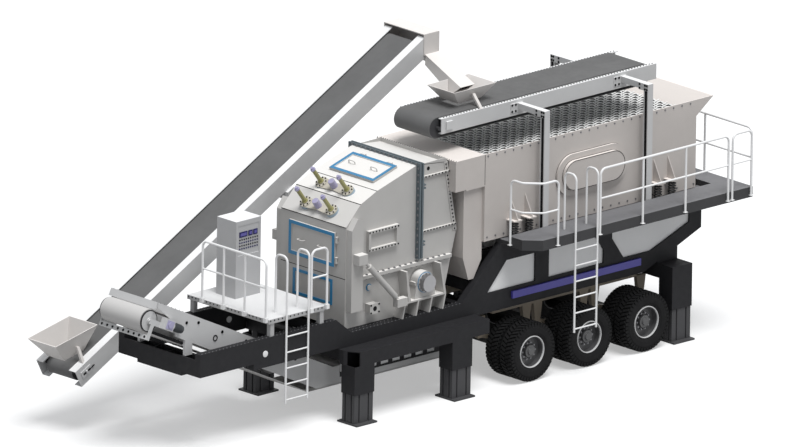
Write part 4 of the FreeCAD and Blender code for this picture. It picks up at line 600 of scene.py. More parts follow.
class Growth(Nodes):
    """A Geometry Nodes tree under construction, with named inputs."""

    COUNTS = ("Count", "Sides")

    def __init__(self, name: str, *labels: str) -> None:
        """Open the tree.

        Args:
            name: name of the tree.
            labels: names of its sizes; those in COUNTS are whole numbers.
        """
        super().__init__(bpy.data.node_groups.new(name, "GeometryNodeTree"))
        self.keys: Dict[str, str] = {}
        kinds = {label: "Int" if label in self.COUNTS else "Float" for label in labels}
        for label, kind in {"Carrier": "Geometry", **kinds, "Finish": "Material"}.items():
            socket = self.tree.interface.new_socket(label, in_out="INPUT", socket_type="NodeSocket" + kind)
            self.keys[label] = socket.identifier
        self.tree.interface.new_socket("Result", in_out="OUTPUT", socket_type="NodeSocketGeometry")
        self.given = self.tree.nodes.new("NodeGroupInput").outputs
        self.exit = self.tree.nodes.new("NodeGroupOutput")

    def geo(self, kind: str, wiring: Dict[object, object], **settings: object) -> Socket:
        """Add one geometry node and return its first output."""
        return self.step("GeometryNode" + kind, wiring, **settings)

    def times(self, first: object, second: object) -> Socket:
        """The product of two values."""
        return self.math("MULTIPLY", first, second)

    def triple(self, x: object = 0.0, y: object = 0.0, z: object = 0.0) -> Socket:
        """A vector from three values."""
        return self.step("ShaderNodeCombineXYZ", {0: x, 1: y, 2: z})

    def joined(self, *parts: Socket) -> Socket:
        """Several geometries as one."""
        node = self.node("GeometryNodeJoinGeometry", {})
        for part in parts:
            self.tree.links.new(part, node.inputs[0])
        return node.outputs[0]

    def moved(self, geometry: Socket, **change: object) -> Socket:
        """A geometry with its Translation or Rotation given."""
        return self.geo("Transform", {"Geometry": geometry, **change})

    def centres(self) -> Socket:
        """The carrier's points."""
        return self.geo("MeshToPoints", {"Mesh": self.given["Carrier"]})

    def facing(self, axis: str) -> Socket:
        """The turn that lays an axis along the carrier's facing direction.

        Args:
            axis: X, Y or Z.

        Returns:
            The rotation.
        """
        wanted = self.geo("InputNamedAttribute", {"Name": "facing"}, data_type="FLOAT_VECTOR")
        return self.step("FunctionNodeAlignRotationToVector", {"Vector": wanted}, axis=axis)

    def placed(self, points: Socket, instance: Socket, **turn: Socket) -> Socket:
        """Copies of a geometry on points, with their Rotation if one is given."""
        return self.geo("InstanceOnPoints", {"Points": points, "Instance": instance, **turn})

    def swept(self, curve: Socket, sides: int, **caps: object) -> Socket:
        """A round wire along a curve.

        Args:
            curve: the line that it follows.
            sides: sides of its section.
            caps: Fill Caps, where its ends are closed.

        Returns:
            The wire's mesh.
        """
        profile = self.geo("CurvePrimitiveCircle",
                            {"Resolution": sides, "Radius": self.given["Wire Radius"]})
        return self.geo("CurveToMesh", {"Curve": curve, "Profile Curve": profile, **caps})

    def close(self, geometry: Socket) -> "Growth":
        """End the tree: realize the instances and set the finish.

        Args:
            geometry: what the tree has made.

        Returns:
            The finished tree.
        """
        real = self.geo("RealizeInstances", {"Geometry": geometry})
        dressed = self.geo("SetMaterial", {"Geometry": real, "Material": self.given["Finish"]})
        self.feed(dressed, self.exit.inputs["Result"])
        return self

    def grow(self, name: str, carrier: bpy.types.Mesh, sizes: Dict[str, float], finish: Finish,
             smooth: bool = False) -> bpy.types.Object:
        """Run the tree on a carrier mesh and keep the result as a plain mesh.

        Args:
            name: name of the finished object.
            carrier: mesh whose points or edges the tree starts from.
            sizes: input name to value.
            finish: what the result is made of.
            smooth: shade round surfaces smoothly.

        Returns:
            The finished object, at the origin.
        """
        seed = show(name + "_carrier", carrier)
        modifier = seed.modifiers.new("growth", "NODES")
        modifier.node_group = self.tree
        for label, value in {**sizes, "Finish": finish.material()}.items():
            modifier[self.keys[label]] = value
        depsgraph = bpy.context.evaluated_depsgraph_get()
        data = bpy.data.meshes.new_from_object(seed.evaluated_get(depsgraph))
        data.name = name
        seed.modifiers.remove(modifier)
        bpy.data.objects.remove(seed)
        if smooth:
            smooth_over(data)
        return show(name, data)


def carrier_of(lines: Iterable[Sequence[Vector]], facing: Iterable[Vector] = ()) -> bpy.types.Mesh:
    """A mesh of open lines, each with the direction that its items face.

    Args:
        lines: the lines, each a list of points; a single point stays a point.
        facing: one direction for each line, or none where the tree needs none.

    Returns:
        The mesh, with the directions in the point attribute "facing".
    """
    points: List[Vector] = []
    edges: List[Tuple[int, int]] = []
    for line in lines:
        edges += [(len(points) + k, len(points) + k + 1) for k in range(len(line) - 1)]
        points += line
    mesh = bpy.data.meshes.new("carrier")
    mesh.from_pydata(points, edges, [])
    directions = [part for line, direction in zip(lines, facing) for part in list(direction) * len(line)]
    if directions:
        mesh.attributes.new("facing", "FLOAT_VECTOR", "POINT").data.foreach_set("vector", directions)
    return mesh


def pegs_tree() -> Growth:
    """Round or six-sided pegs with washers, set along the carrier's edges at a pitch."""
    growth = Growth("pegs_along_edges", "Pitch", "Radius", "Height", "Sides", "Washer Radius", "Washer Height")
    given = growth.given
    line = growth.geo("MeshToCurve", {"Mesh": given["Carrier"]})
    spots = growth.geo("ResampleCurve", {"Curve": line, "Length": given["Pitch"]}, mode="LENGTH")
    solids = []
    for part in ("", "Washer "):
        height = given[part + "Height"]
        bar = growth.geo("MeshCylinder", {
            "Vertices": given["Sides"], "Radius": given[part + "Radius"], "Depth": height})
        solids.append(growth.moved(bar, Translation=growth.triple(z=growth.times(height, 0.5))))
    return growth.close(growth.placed(spots, growth.joined(*solids), Rotation=growth.facing("Z")))


def ring_tree() -> Growth:
    """Blocks in a ring round each carrier point, about the direction it faces."""
    growth = Growth("blocks_in_a_ring", "Count", "Radius", "Offset", "Phase", "Reach", "Width", "Thickness",
                    "Skew")
    given = growth.given
    index = growth.geo("InputIndex", {})
    share = growth.math("DIVIDE", growth.math("ADD", index, given["Phase"]), given["Count"])
    angle = growth.times(share, 2 * math.pi)
    spot = growth.triple(growth.times(growth.math("COSINE", angle), given["Radius"]), given["Offset"],
                         growth.times(growth.math("SINE", angle), given["Radius"]))
    spots = growth.geo("Points", {"Count": given["Count"], "Position": spot})
    size = growth.triple(given["Reach"], given["Width"], given["Thickness"])
    block = growth.moved(growth.geo("MeshCube", {"Size": size}),
                         Rotation=growth.triple(given["Skew"]))
    spin = growth.step("FunctionNodeAxisAngleToRotation", {
        "Axis": (0.0, 1.0, 0.0), "Angle": growth.times(angle, -1.0)})
    ring = growth.placed(spots, block, Rotation=spin)
    return growth.close(growth.placed(growth.centres(), ring, Rotation=growth.facing("Y")))


def weave_tree() -> Growth:
    """Crimped wires that cross over and under each other, centred on the carrier's points."""
    growth = Growth("woven_wires", "Length", "Width", "Pitch", "Wire Radius")
    given = growth.given
    pitch = given["Pitch"]
    sets = []
    for along, across, axis, sign in (("Length", "Width", "y", 1.0), ("Width", "Length", "x", -1.0)):
        crossings = growth.math("ROUND", growth.math("DIVIDE", given[along], pitch))
        wires = growth.math("ROUND", growth.math("DIVIDE", given[across], pitch))
        start, end = (growth.triple(growth.times(given[along], half)) for half in (-0.5, 0.5))
        turn = (0.0, 0.0, math.pi / 2 if axis == "x" else 0.0)
        for phase in (0.0, 1.0):
            line = growth.geo("CurvePrimitiveLine", {"Start": start, "End": end})
            count = growth.math("ADD", growth.times(crossings, 2.0), 1.0)
            fine = growth.geo("ResampleCurve", {"Curve": line, "Count": count}, mode="COUNT")
            place = growth.step("ShaderNodeSeparateXYZ", {"Vector": growth.geo("InputPosition", {})})
            wave = growth.math("ADD", growth.math("DIVIDE", place, pitch), phase)
            swing = growth.math("COSINE", growth.times(wave, math.pi))
            lift = growth.times(growth.times(swing, given["Wire Radius"]), sign)
            waved = growth.geo("SetPosition", {"Geometry": fine, "Offset": growth.triple(z=lift)})
            wire = growth.moved(growth.swept(waved, 5), Rotation=turn)
            index = growth.geo("InputIndex", {})
            number = growth.math("ADD", growth.times(index, 2.0), phase + 0.5)
            offset = growth.math("SUBTRACT", growth.times(number, pitch), growth.times(given[across], 0.5))
            spots = growth.geo("Points", {
                "Count": growth.math("FLOOR", growth.times(wires, 0.5)), "Position": growth.triple(**{axis: offset})})
            sets.append(growth.placed(spots, wire))
    return growth.close(growth.placed(growth.centres(), growth.joined(*sets)))


def coil_tree() -> Growth:
    """Coil springs that stand on the carrier's points."""
    growth = Growth("coil_springs", "Radius", "Turns", "Height", "Wire Radius")
    given = growth.given
    coil = growth.geo("CurveSpiral", {
        "Resolution": 20, "Rotations": given["Turns"], "Start Radius": given["Radius"],
        "End Radius": given["Radius"], "Height": given["Height"]})
    wire = growth.swept(coil, 8, **{"Fill Caps": True})
    return growth.close(growth.placed(growth.centres(), wire))


PEGS = pegs_tree()
RINGS = ring_tree()
WEAVE = weave_tree()
COILS = coil_tree()


@dataclass(frozen=True)
class Bolting:
    """A size of bolt head with its washer, and how far apart the bolts stand."""

    pitch: float
    radius: float = 0.016
    height: float = 0.014
    washer: float = 1.5

    def sizes(self) -> Dict[str, float]:
        """The values for the pegs tree."""
        return {"Pitch": self.pitch, "Radius": self.radius, "Height": self.height, "Sides": 6,
                "Washer Radius": self.radius * self.washer, "Washer Height": self.height * 0.3}


def row(x0: float, x1: float, y: float, z: float, facing: Sequence[float]) -> Line:
    """A line of bolts along X; one with equal ends holds a single bolt."""
    return (x0, y, z), (max(x1, x0 + 0.001), y, z), facing


def bolt_lines(name: str, lines: Sequence[Line], bolting: Bolting,
               finish: Finish = DARK_PAINT_AND_SHADE, both: bool = False) -> None:
    """Set bolts along straight lines on the fixed body.

    Args:
        name: name of the piece.
        lines: start, end and outward direction of each line.
        bolting: size and pitch of the bolts.
        finish: what the bolts are made of.
        both: set their images on the other side of the plant too.
    """
    lines = [[Vector(part) for part in line] for line in lines]
    if both:
        lines += [[Vector((part.x, -part.y, part.z)) for part in line] for line in lines]
    carrier = carrier_of([line[:2] for line in lines], [line[2] for line in lines])
    settle(PEGS.grow(name, carrier, bolting.sizes(), finish), FIXED_BODY)


@dataclass
class Studio:
    """Floor, light and the camera that looks at the plant as the picture does."""

    azimuth: float = -43.867
    elevation: float = 16.785
    roll: float = 0.921
    distance: float = 60.0
    image: Tuple[int, int] = (806, 447)
    pixels_per_metre: float = 57.0
    anchor: Point = (3.02, -1.505, GROUND)
    anchor_pixel: Tuple[float, float] = (356.3, 427.7)
    floor_half: float = 60.0
    sky: float = 0.45
    sun_strength: float = 2.9
    sun_angle: float = 30.0
    sun_direction: Point = (0.08, 0.32, -0.85)

    def axes(self) -> Tuple[Vector, Vector, Vector]:
        """The camera's right, up and backward directions.

        Returns:
            The three unit vectors.
        """
        azimuth, elevation, roll = (math.radians(a) for a in (self.azimuth, self.elevation, self.roll))
        level = Vector((math.cos(azimuth), math.sin(azimuth), 0.0))
        back = Vector((level.y * math.cos(elevation), -level.x * math.cos(elevation), math.sin(elevation)))
        rise = back.cross(level)
        right = level * math.cos(roll) + rise * math.sin(roll)
        up = rise * math.cos(roll) - level * math.sin(roll)
        return right, up, back

    def camera(self) -> None:
        """Make the camera; the centre of the picture is found from one anchor point."""
        right, up, back = self.axes()
        low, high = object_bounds()
        anchor = Vector(self.anchor)
        target = anchor + back * ((low + high) / 2 - anchor).dot(back)
        target += right * (self.image[0] / 2 - self.anchor_pixel[0]) / self.pixels_per_metre
        target += up * (self.anchor_pixel[1] - self.image[1] / 2) / self.pixels_per_metre
        data = bpy.data.cameras.new("camera")
        data.type = "ORTHO"
        data.ortho_scale = self.image[0] / self.pixels_per_metre
        data.clip_start = 1.0
        data.clip_end = self.distance * 3
        made = show("camera", data)
        made.matrix_world = (Matrix.Translation(target + back * self.distance)
                             @ Matrix((right, up, back)).transposed().to_4x4())
        bpy.context.scene.camera = made

    def world(self) -> None:
        """A soft even sky that is white where the camera sees it."""
        world = bpy.data.worlds.new("studio")
        world.use_nodes = True
        bpy.context.scene.world = world
        nodes = Nodes(world.node_tree)
        sky = world.node_tree.nodes["Background"]
        nodes.feed((0.93, 0.96, 1.0, 1.0), sky.inputs["Color"])
        nodes.feed(self.sky, sky.inputs["Strength"])
        white = nodes.step("ShaderNodeBackground", {"Color": (1.0, 1.0, 1.0, 1.0), "Strength": 1.0})
        nodes.show_white(sky.outputs[0], white, world.node_tree.nodes["World Output"].inputs["Surface"])

    def floor(self) -> None:
        """A wide pale floor that takes a soft shadow and sends little light back up."""
        draft = Draft()
        reach = self.floor_half
        draft.box((-reach, -reach, GROUND - 0.05), (reach, reach, GROUND - 0.002))
        draft.piece("floor", FloorFinish("floor_white", (0.99, 0.99, 0.99), 0.9))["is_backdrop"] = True

    def lamp(self) -> None:
        """One soft sun."""
        data = bpy.data.lights.new("key", "SUN")
        data.energy = self.sun_strength
        data.angle = math.radians(self.sun_angle)
        made = show("key", data)
        made.rotation_mode = "QUATERNION"
        made.rotation_quaternion = Vector(self.sun_direction).to_track_quat("-Z", "Y")

    def build(self) -> None:
        """Set up the whole studio."""
        bpy.context.scene.view_settings.view_transform = "Standard"
        self.camera()
        self.world()
        self.floor()
        self.lamp()


def dress_nodes() -> None:
    """Give every CAD node its finish."""
    finishes = {node: finish for finish, nodes in NODE_FINISHES.items() for node in nodes}
    for side in Side:
        for axle in AXLES:
            finishes[side.name_of(f"wheel_{axle}")] = RIM
            finishes[side.name_of(f"tyres_{axle}")] = TYRE
        for place in ("front", "middle", "rear"):
            finishes[side.name_of(f"leg_{place}")] = LEG_PAINT
    for name, node in frame["nodes"].items():
        node.data.materials.clear()
        node.data.materials.append(finishes[name].material())
        LOG.info("%s: %s", name, finishes[name].name)


@dataclass
class WheelEnd:
    """The tyres, nuts and rim ring of one wheel end."""

    axle: int
    side: Side
    width: float = 0.310
    tread_depth: float = 0.026
    lug_count: int = 44
    lug_skew: float = 0.42
    nut_circle: float = 0.150
    nut_count: int = 10
    disc_inset: float = 0.150
    ring_inset: float = 0.030
    ring_profile: Profile = ((0.271, -0.02), (0.271, 0.006), (0.279, 0.013), (0.289, 0.010), (0.292, -0.002),
                             (0.284, -0.02), (0.271, -0.02))
    nut_profile: Profile = ((0, 0), (0.026, 0), (0.026, 0.012), (0.018, 0.013), (0.018, 0.044), (0, 0.046))
    steps: int = 72

    def __post_init__(self) -> None:
        """Take the names and the places from the CAD node of the two tyres."""
        self.body = self.side.name_of(f"wheel_end_{self.axle}")
        self.node = self.side.name_of(f"tyres_{self.axle}")
        low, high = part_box(self.node)
        self.centre = (low + high) / 2
        self.radius = (high.z - low.z) / 2
        self.face = low.y if self.side is Side.NEAR else high.y
        apart = ACROSS * (high.y - low.y - self.width) / 2
        self.middles = [self.centre - apart, self.centre + apart]

    def tyres(self) -> bpy.types.Object:
        """Two round tyres with bulged sidewalls and a rounded shoulder.

        Returns:
            The object that holds both.
        """
        draft = Draft()
        base = self.radius - self.tread_depth
        half = self.width / 2
        profile = [(radius, half - inset) for radius, inset in (
            (0.286, 0.045), (0.298, 0.030), (0.330, 0.016), (0.345, 0.012), (0.350, 0.006), (0.400, 0),
            (0.440, 0), (0.448, 0.006), (0.480, 0.012), (base - 0.022, 0.020), (base - 0.006, 0.036),
            (base, 0.060), (base, 0.085))]
        outline = [(ring, -height) for ring, height in profile] + profile[::-1]
        for middle in self.middles:
            draft.lathe(middle, ACROSS, outline + outline[:1], self.steps)
        return draft.piece("treaded_" + self.node, TYRE, smooth=True)

    def lugs(self) -> List[bpy.types.Object]:
        """Slanted tread blocks in two staggered rows and square shoulder blocks on each tyre.

        Returns:
            One object for each row.
        """
        made = []
        pitch = 2 * math.pi * self.radius / self.lug_count
        carriers = [[middle] for middle in self.middles]
        tread, shoulder = (0.40, 1.6, 0.0005), (0.085, 2.6, 0.016)
        for index, (offset, skew, phase, (breadth, reach, drop)) in enumerate((
                (-0.22, self.lug_skew, 0.0, tread), (0.22, -self.lug_skew, 0.5, tread),
                (-0.445, 0.0, 0.25, shoulder), (0.445, 0.0, 0.75, shoulder))):
            reach *= self.tread_depth
            sizes = {"Count": self.lug_count, "Radius": self.radius - drop - reach / 2, "Offset": offset * self.width,
                     "Phase": phase, "Reach": reach, "Width": breadth * self.width, "Thickness": 0.56 * pitch,
                     "Skew": skew}
            made.append(RINGS.grow(f"{self.node}_row_{index}", carrier_of(carriers, [ACROSS] * 2), sizes, TYRE))
        return made

    def spot(self, inset: float) -> Vector:
        """The point on the axle line that far inside the outer face."""
        return Vector((self.centre.x, self.face - self.side.value * inset, self.centre.z))

    def build(self) -> None:
        """Build and settle the treaded tyres, the wheel nuts and the bright rim ring."""
        body = self.tyres()
        merge = bmesh.new()
        merge.from_mesh(body.data)
        for block in self.lugs():
            merge.from_mesh(block.data)
            bpy.data.objects.remove(block)
        merge.to_mesh(body.data)
        merge.free()
        settle(body, self.body, (self.node,))
        nuts, ring = Draft(), Draft()
        for spoke in circle(Vector((1, 0, 0)), Vector((0, 0, 1)), self.nut_count):
            nuts.lathe(self.spot(self.disc_inset) + spoke * self.nut_circle, self.side.out, self.nut_profile, 6)
        nuts.put(self.body + "_nuts", BOLT_STEEL, "rim_paint", self.body)
        ring.lathe(self.spot(self.ring_inset), self.side.out, self.ring_profile, self.steps)
        ring.put(self.body + "_rim_ring", RIM_BRIGHT, "rim_paint", self.body, smooth=True)


@dataclass
class CrusherFittings:
    """Bolts and blue frames of the crusher housing."""

    inset: float = 0.040
    band: float = 0.062
    band_height: float = 0.004
    sink: float = 0.001
    door_face: float = 3.304
    door_centre: float = 1.585
    door_half: Tuple[float, float] = (0.58, 0.31)
    roof_foot: Point = (4.090, 0, 3.970 + GROUND)
    roof_slope: float = math.atan2(0.280, 0.950)
    hatch_centre: float = 0.470
    hatch_lift: float = 0.046
    hatch_half: Tuple[float, float] = (0.56, 0.30)
    joint_x: Tuple[float, float] = (3.70, 5.72)
    joint_half: float = 0.858
    shaft: Point = (5.12, 0, 2.14 + GROUND)
    cover_circle: float = 0.158
    cover_bolts: int = 12

    def bolts(self) -> None:
        """Bolts through the dark flange, and upright ones through the joint of housing and base."""
        low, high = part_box("housing_flange")
        lines = []
        for x, facing in ((low.x, (-1, 0, 0)), (high.x, (1, 0, 0))):
            for y in (low.y + self.inset, high.y - self.inset):
                lines.append(((x, y, low.z + 0.06), (x, y, high.z - 0.09), facing))
            top = high.z - self.inset * 0.6
            lines.append(((x, low.y + 0.10, top), (x, high.y - 0.10, top), facing))
        bolt_lines("flange_bolts", lines, Bolting(0.115), BOLT_STEEL)
        lines = [row(*self.joint_x, self.joint_half, z, (0, 0, up)) for z, up in ((1.09, 1), (1.030, -1))]
        bolt_lines("joint_bolts", lines, Bolting(0.13, 0.018, 0.022), BOLT_STEEL, both=True)

    def border(self, name: str, body: str, place: Callable[[float, float, float], Vector],
               half: Tuple[float, float]) -> None:
        """Build a blue band from the four strips of a rectangular border.

        Args:
            name: name of the piece.
            body: body that it rides on.
            place: turns two plan values and a height into a point.
            half: half of the two outer sizes.
        """
        draft = Draft()
        (a, b), (c, d) = half, (size - self.band for size in half)
        for a0, a1, b0, b1 in ((-a, a, -b, -d), (-a, a, d, b), (-a, -c, -d, d), (c, a, -d, d)):
            outline = [place(*spot, -self.sink) for spot in ((a0, b0), (a1, b0), (a1, b1), (a0, b1))]
            draft.prism(outline, place(a0, b0, self.band_height) - outline[0])
        draft.put(name, DOOR_BLUE, "door_paint", body)

    def build(self) -> None:
        """Build the bolts, the blue bands of door and hatch, and a ring of bolts round each shaft cover."""
        self.bolts()
        self.border("door_band", "front_door",
                    lambda a, b, h: Vector((self.door_face - h, a, self.door_centre + b)), self.door_half)
        along = Vector((math.cos(self.roof_slope), 0, math.sin(self.roof_slope)))
        up = Vector((-along.z, 0, along.x))
        origin = Vector(self.roof_foot) + along * self.hatch_centre + up * self.hatch_lift
        self.border("hatch_band", "roof_hatch", lambda a, b, h: origin + along * b + ACROSS * a + up * h,
                    self.hatch_half)
        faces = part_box("bearing_housings")
        for side, face in zip(Side, faces):
            sizes = {"Count": self.cover_bolts, "Radius": self.cover_circle, "Offset": face.y + side.value * 0.004,
                     "Phase": 0.0, "Reach": 0.026, "Width": 0.022, "Thickness": 0.026, "Skew": 0.0}
            ring = RINGS.grow(side.name_of("bearing_cover_bolts"), carrier_of([[Vector(self.shaft)]], [ACROSS]),
                              sizes, BOLT_STEEL)
            settle(ring, FIXED_BODY)


@dataclass
class ScreenFittings:
    """Woven wire over the screen deck and coil springs under the box."""

    pitch: float = 0.105
    wire: float = 0.0125
    lift: float = 2.2
    margin: float = 0.02
    spring_wire: float = 0.014
    spring_radius: float = 0.075
    spring_turns: float = 6.0
    spring_x: Tuple[float, ...] = (7.160, 7.510, 10.630, 10.970)

    def build(self) -> None:
        """Build crimped wire over the screen deck, whose near-black plate is painted shadow, and the springs between
        shelf and seats.
        """
        low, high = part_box("screen_deck")
        middle = (low + high) / 2
        middle.z = high.z + self.lift * self.wire
        sizes = {"Length": high.x - low.x - self.margin, "Width": high.y - low.y - self.margin,
                 "Pitch": self.pitch, "Wire Radius": self.wire}
        settle(WEAVE.grow("woven_screen_wire", carrier_of([[middle]]), sizes, WIRE, smooth=True), FIXED_BODY)
        low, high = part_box("screen_springs")
        line = high.y - self.spring_radius
        spots = [[Vector((x, y, low.z + self.spring_wire))] for x in self.spring_x for y in (-line, line)]
        sizes = {"Radius": self.spring_radius - self.spring_wire, "Turns": self.spring_turns,
                 "Height": high.z - low.z - 2 * self.spring_wire, "Wire Radius": self.spring_wire}
        settle(COILS.grow("coil_springs", carrier_of(spots), sizes, SPRING_BLACK, smooth=True), FIXED_BODY,
               ("screen_springs",))


@dataclass(frozen=True)
class Incline:
    """The plane of a sloping conveyor, from its corner and its angle in degrees."""

    x: float
    z: float
    degrees: float

    def at(self, along: float, rise: float, y: float = 0.0) -> Vector:
        """A place on the incline.

        Args:
            along: way up the incline.
            rise: way at right angles to it.
            y: way across.

        Returns:
            The point.
        """
        angle = math.radians(self.degrees)
        return Vector((self.x + along * math.cos(angle) - rise * math.sin(angle), y,
                       self.z + along * math.sin(angle) + rise * math.cos(angle)))

    def outline(self, along: Sequence[float], rise: Sequence[float], y: float) -> List[Vector]:
        """The corners of a rectangle on the incline, on the plane at y.

        Args:
            along: its two ends.
            rise: its lower and upper edge.
            y: place across.

        Returns:
            The four corners.
        """
        (a0, a1), (r0, r1) = along, rise
        return [self.at(a, r, y) for a, r in ((a0, r0), (a1, r0), (a1, r1), (a0, r1))]


@dataclass
class ConveyorHead:
    """Drum covers, scraper holes, plate bolts and the drive's casing at the main conveyor's head."""

    incline: Incline = Incline(-0.970, 1.470, -25.3)
    drum_drop: float = 0.358
    drum_half: float = 0.525
    cover_profile: Profile = ((0, -0.002), (0.181, -0.002), (0.181, 0.004), (0.060, 0.004), (0.060, 0.018),
                              (0.036, 0.018), (0.036, 0.040), (0, 0.040))
    cover_rim: Tuple[float, float] = (0.181, 0.1945)
    plate_half: float = 0.600
    edge_half: float = 0.594
    edge_ends: Tuple[float, float] = (0.06, 4.60)
    plate_ring: Tuple[float, float] = (1.65, 0.238)
    plate_bolts: Profile = ((0.84, 0.162), (1.125, 0.087), (1.77, 0.095), (2.415, 0.100), (3.10, 0.100),
                            (3.75, 0.100))
    scraper_drop: float = 0.645
    scraper_half: float = 0.54
    motor_ends: Tuple[float, float] = (0.430, 0.680)
    motor_drop: float = 0.308
    motor_y: float = -0.680
    motor_radius: float = 0.070
    motor_ribs: int = 9
    gearbox_along: Tuple[float, float] = (0.232, 0.408)
    gearbox_drop: Tuple[float, float] = (0.230, 0.386)
    gearbox_face: float = -0.740

    def spot(self, along: float, drop: float, y: float = 0.0) -> Vector:
        """A place below the conveyor's upper edge."""
        return self.incline.at(along, -drop, y)

    def covers(self) -> None:
        """A pale disc with a hub and a dark rim on each end of the head drum."""
        for side in Side:
            centre = self.spot(0, self.drum_drop, side.value * self.drum_half)
            disc, rim = Draft(), Draft()
            disc.lathe(centre, side.out, self.cover_profile)
            disc.put(side.name_of("drum_cover"), FRAME_GREY, "drum_steel", smooth=True)
            rim.ring(centre, side.out, self.cover_rim, -0.002, 0.006, 48)
            rim.put(side.name_of("drum_rim"), DARK_PAINT_AND_SHADE, "drum_steel", smooth=True)

    def bolts(self) -> None:
        """Scraper holes, bolts and a ring on each side plate, and the close row along their upper edges."""
        back = self.spot(-1, 0) - self.spot(0, 0)
        up = self.spot(0, -1) - self.spot(0, 0)
        holes = [(*(self.spot(0, self.scraper_drop, y) for y in (-self.scraper_half, self.scraper_half)), back)]
        spots = [self.spot(*spot, self.plate_half) for spot in self.plate_bolts]
        plate = [row(spot.x, spot.x, spot.y, spot.z, ACROSS) for spot in spots]
        edges = [(*(self.spot(end, 0, self.edge_half) for end in self.edge_ends), up)]
        # Painted shade: the scraper holes are flat dark discs that stand for the shade inside them.
        bolt_lines("scraper_holes", holes, Bolting(0.135, 0.027, 0.002, 1.0))
        bolt_lines("plate_bolts", plate, Bolting(0.5, 0.021, 0.016), both=True)
        ring = Draft()
        ring.ring(self.spot(*self.plate_ring, self.plate_half), ACROSS, (0.040, 0.055), -0.002, 0.010, 32)
        ring.put("plate_rings", DARK_PAINT_AND_SHADE, "conveyor_paint", both=True)
        bolt_lines("plate_edge_bolts", edges, Bolting(0.10, 0.006, 0.010, 1.0), both=True)

    def drive(self) -> None:
        """A ribbed casing round the motor and a bolted cover on the gearbox."""
        start, end = (self.spot(along, self.motor_drop, self.motor_y) for along in self.motor_ends)
        length = (end - start).length
        skin, rib = self.motor_radius + 0.002, self.motor_radius + 0.010
        profile = [(self.motor_radius - 0.002, 0.004)]
        for index in range(self.motor_ribs):
            at = 0.012 + index * (length - 0.05) / self.motor_ribs
            profile += [(skin, at), (rib, at + 0.003), (rib, at + 0.011), (skin, at + 0.014)]
        profile += [(skin, length), (0.035, length + 0.012), (0, length + 0.012)]
        casing, cover = Draft(), Draft()
        casing.lathe(start, end - start, profile, 36)
        casing.put("motor_casing", MOTOR_TEAL, "conveyor_paint", smooth=True)
        drops = [-drop for drop in self.gearbox_drop]
        cover.prism(self.incline.outline(self.gearbox_along, drops, self.gearbox_face + 0.001), ACROSS * -0.010)
        middle = self.spot(sum(self.gearbox_along) / 2, sum(self.gearbox_drop) / 2, self.gearbox_face - 0.008)
        cover.disc(middle, -ACROSS, 0.055, 0, 0.018, 24)
        cover.put("gearbox_cover", LILAC, "conveyor_paint", bevel=0.003)

    def build(self) -> None:
        """Build the head's fittings."""
        self.covers()
        self.bolts()
        self.drive()


@dataclass
class RodFittings:
    """Bolted rings on tie plates, steel-blue seats and lilac nuts and sleeves on the adjusting rods."""

    feet: Profile = ((3.497, 2.1912), (3.8755, 2.4765))
    lean: float = math.radians(38.0)
    spread: float = 0.330
    bolt_count: int = 8
    bolt_circle: float = 0.096
    plate_half: Profile = ((0.405, 0.060), (0.330, 0.112), (0.0, 0.078), (-0.330, 0.112), (-0.405, 0.060))
    ring_profile: Profile = ((0.095, 0.041), (0.112, 0.041), (0.114, 0.066), (0.060, 0.066), (0.060, 0.080),
                             (0.046, 0.080))
    nut_profile: Profile = ((0, 0.385), (0.048, 0.385), (0.048, 0.419), (0.031, 0.421), (0.031, 0.451),
                            (0, 0.453))
    sleeve_profile: Profile = ((0, -0.03), (0.0645, -0.03), (0.0645, 0.196), (0.056, 0.204), (0, 0.204))

    def build(self) -> None:
        """Build the fittings of both rows."""
        up = Vector((-math.sin(self.lean), 0, math.cos(self.lean)))
        other = up.cross(ACROSS)
        seats, rings, bolts, lilac = Draft(), Draft(), Draft(), Draft()
        for x, z in self.feet:
            middle = Vector((x, 0, z))
            outline = [middle + up * 0.040 + ACROSS * a + other * b for a, b in self.plate_half]
            outline += [middle + up * 0.040 + ACROSS * a - other * b for a, b in reversed(self.plate_half)]
            rings.prism(outline, up * 0.010)
            lilac.lathe(middle, up, self.sleeve_profile, 32)
            for foot in (middle - ACROSS * self.spread, middle + ACROSS * self.spread):
                seats.disc(foot, up, 0.1165, -0.03, 0.040, 40)
                rings.lathe(foot, up, self.ring_profile, 40)
                lilac.lathe(foot, up, self.nut_profile, 6)
                spokes = circle(ACROSS, other, 2 * self.bolt_count)[1::2]
                for spoke in spokes:
                    bolts.disc(foot + spoke * self.bolt_circle, up, 0.013, 0.065, 0.081, 6)
        seats.put("rod_seats", SEAT_BLUE, "rod_paint", smooth=True)
        rings.put("rod_rings_and_plates", ROD_PLATE, "rod_paint")
        bolts.put("rod_ring_bolts", DARK_PAINT_AND_SHADE, "rod_paint")
        lilac.put("rod_nuts_and_sleeves", LILAC, "rod_paint", smooth=True)


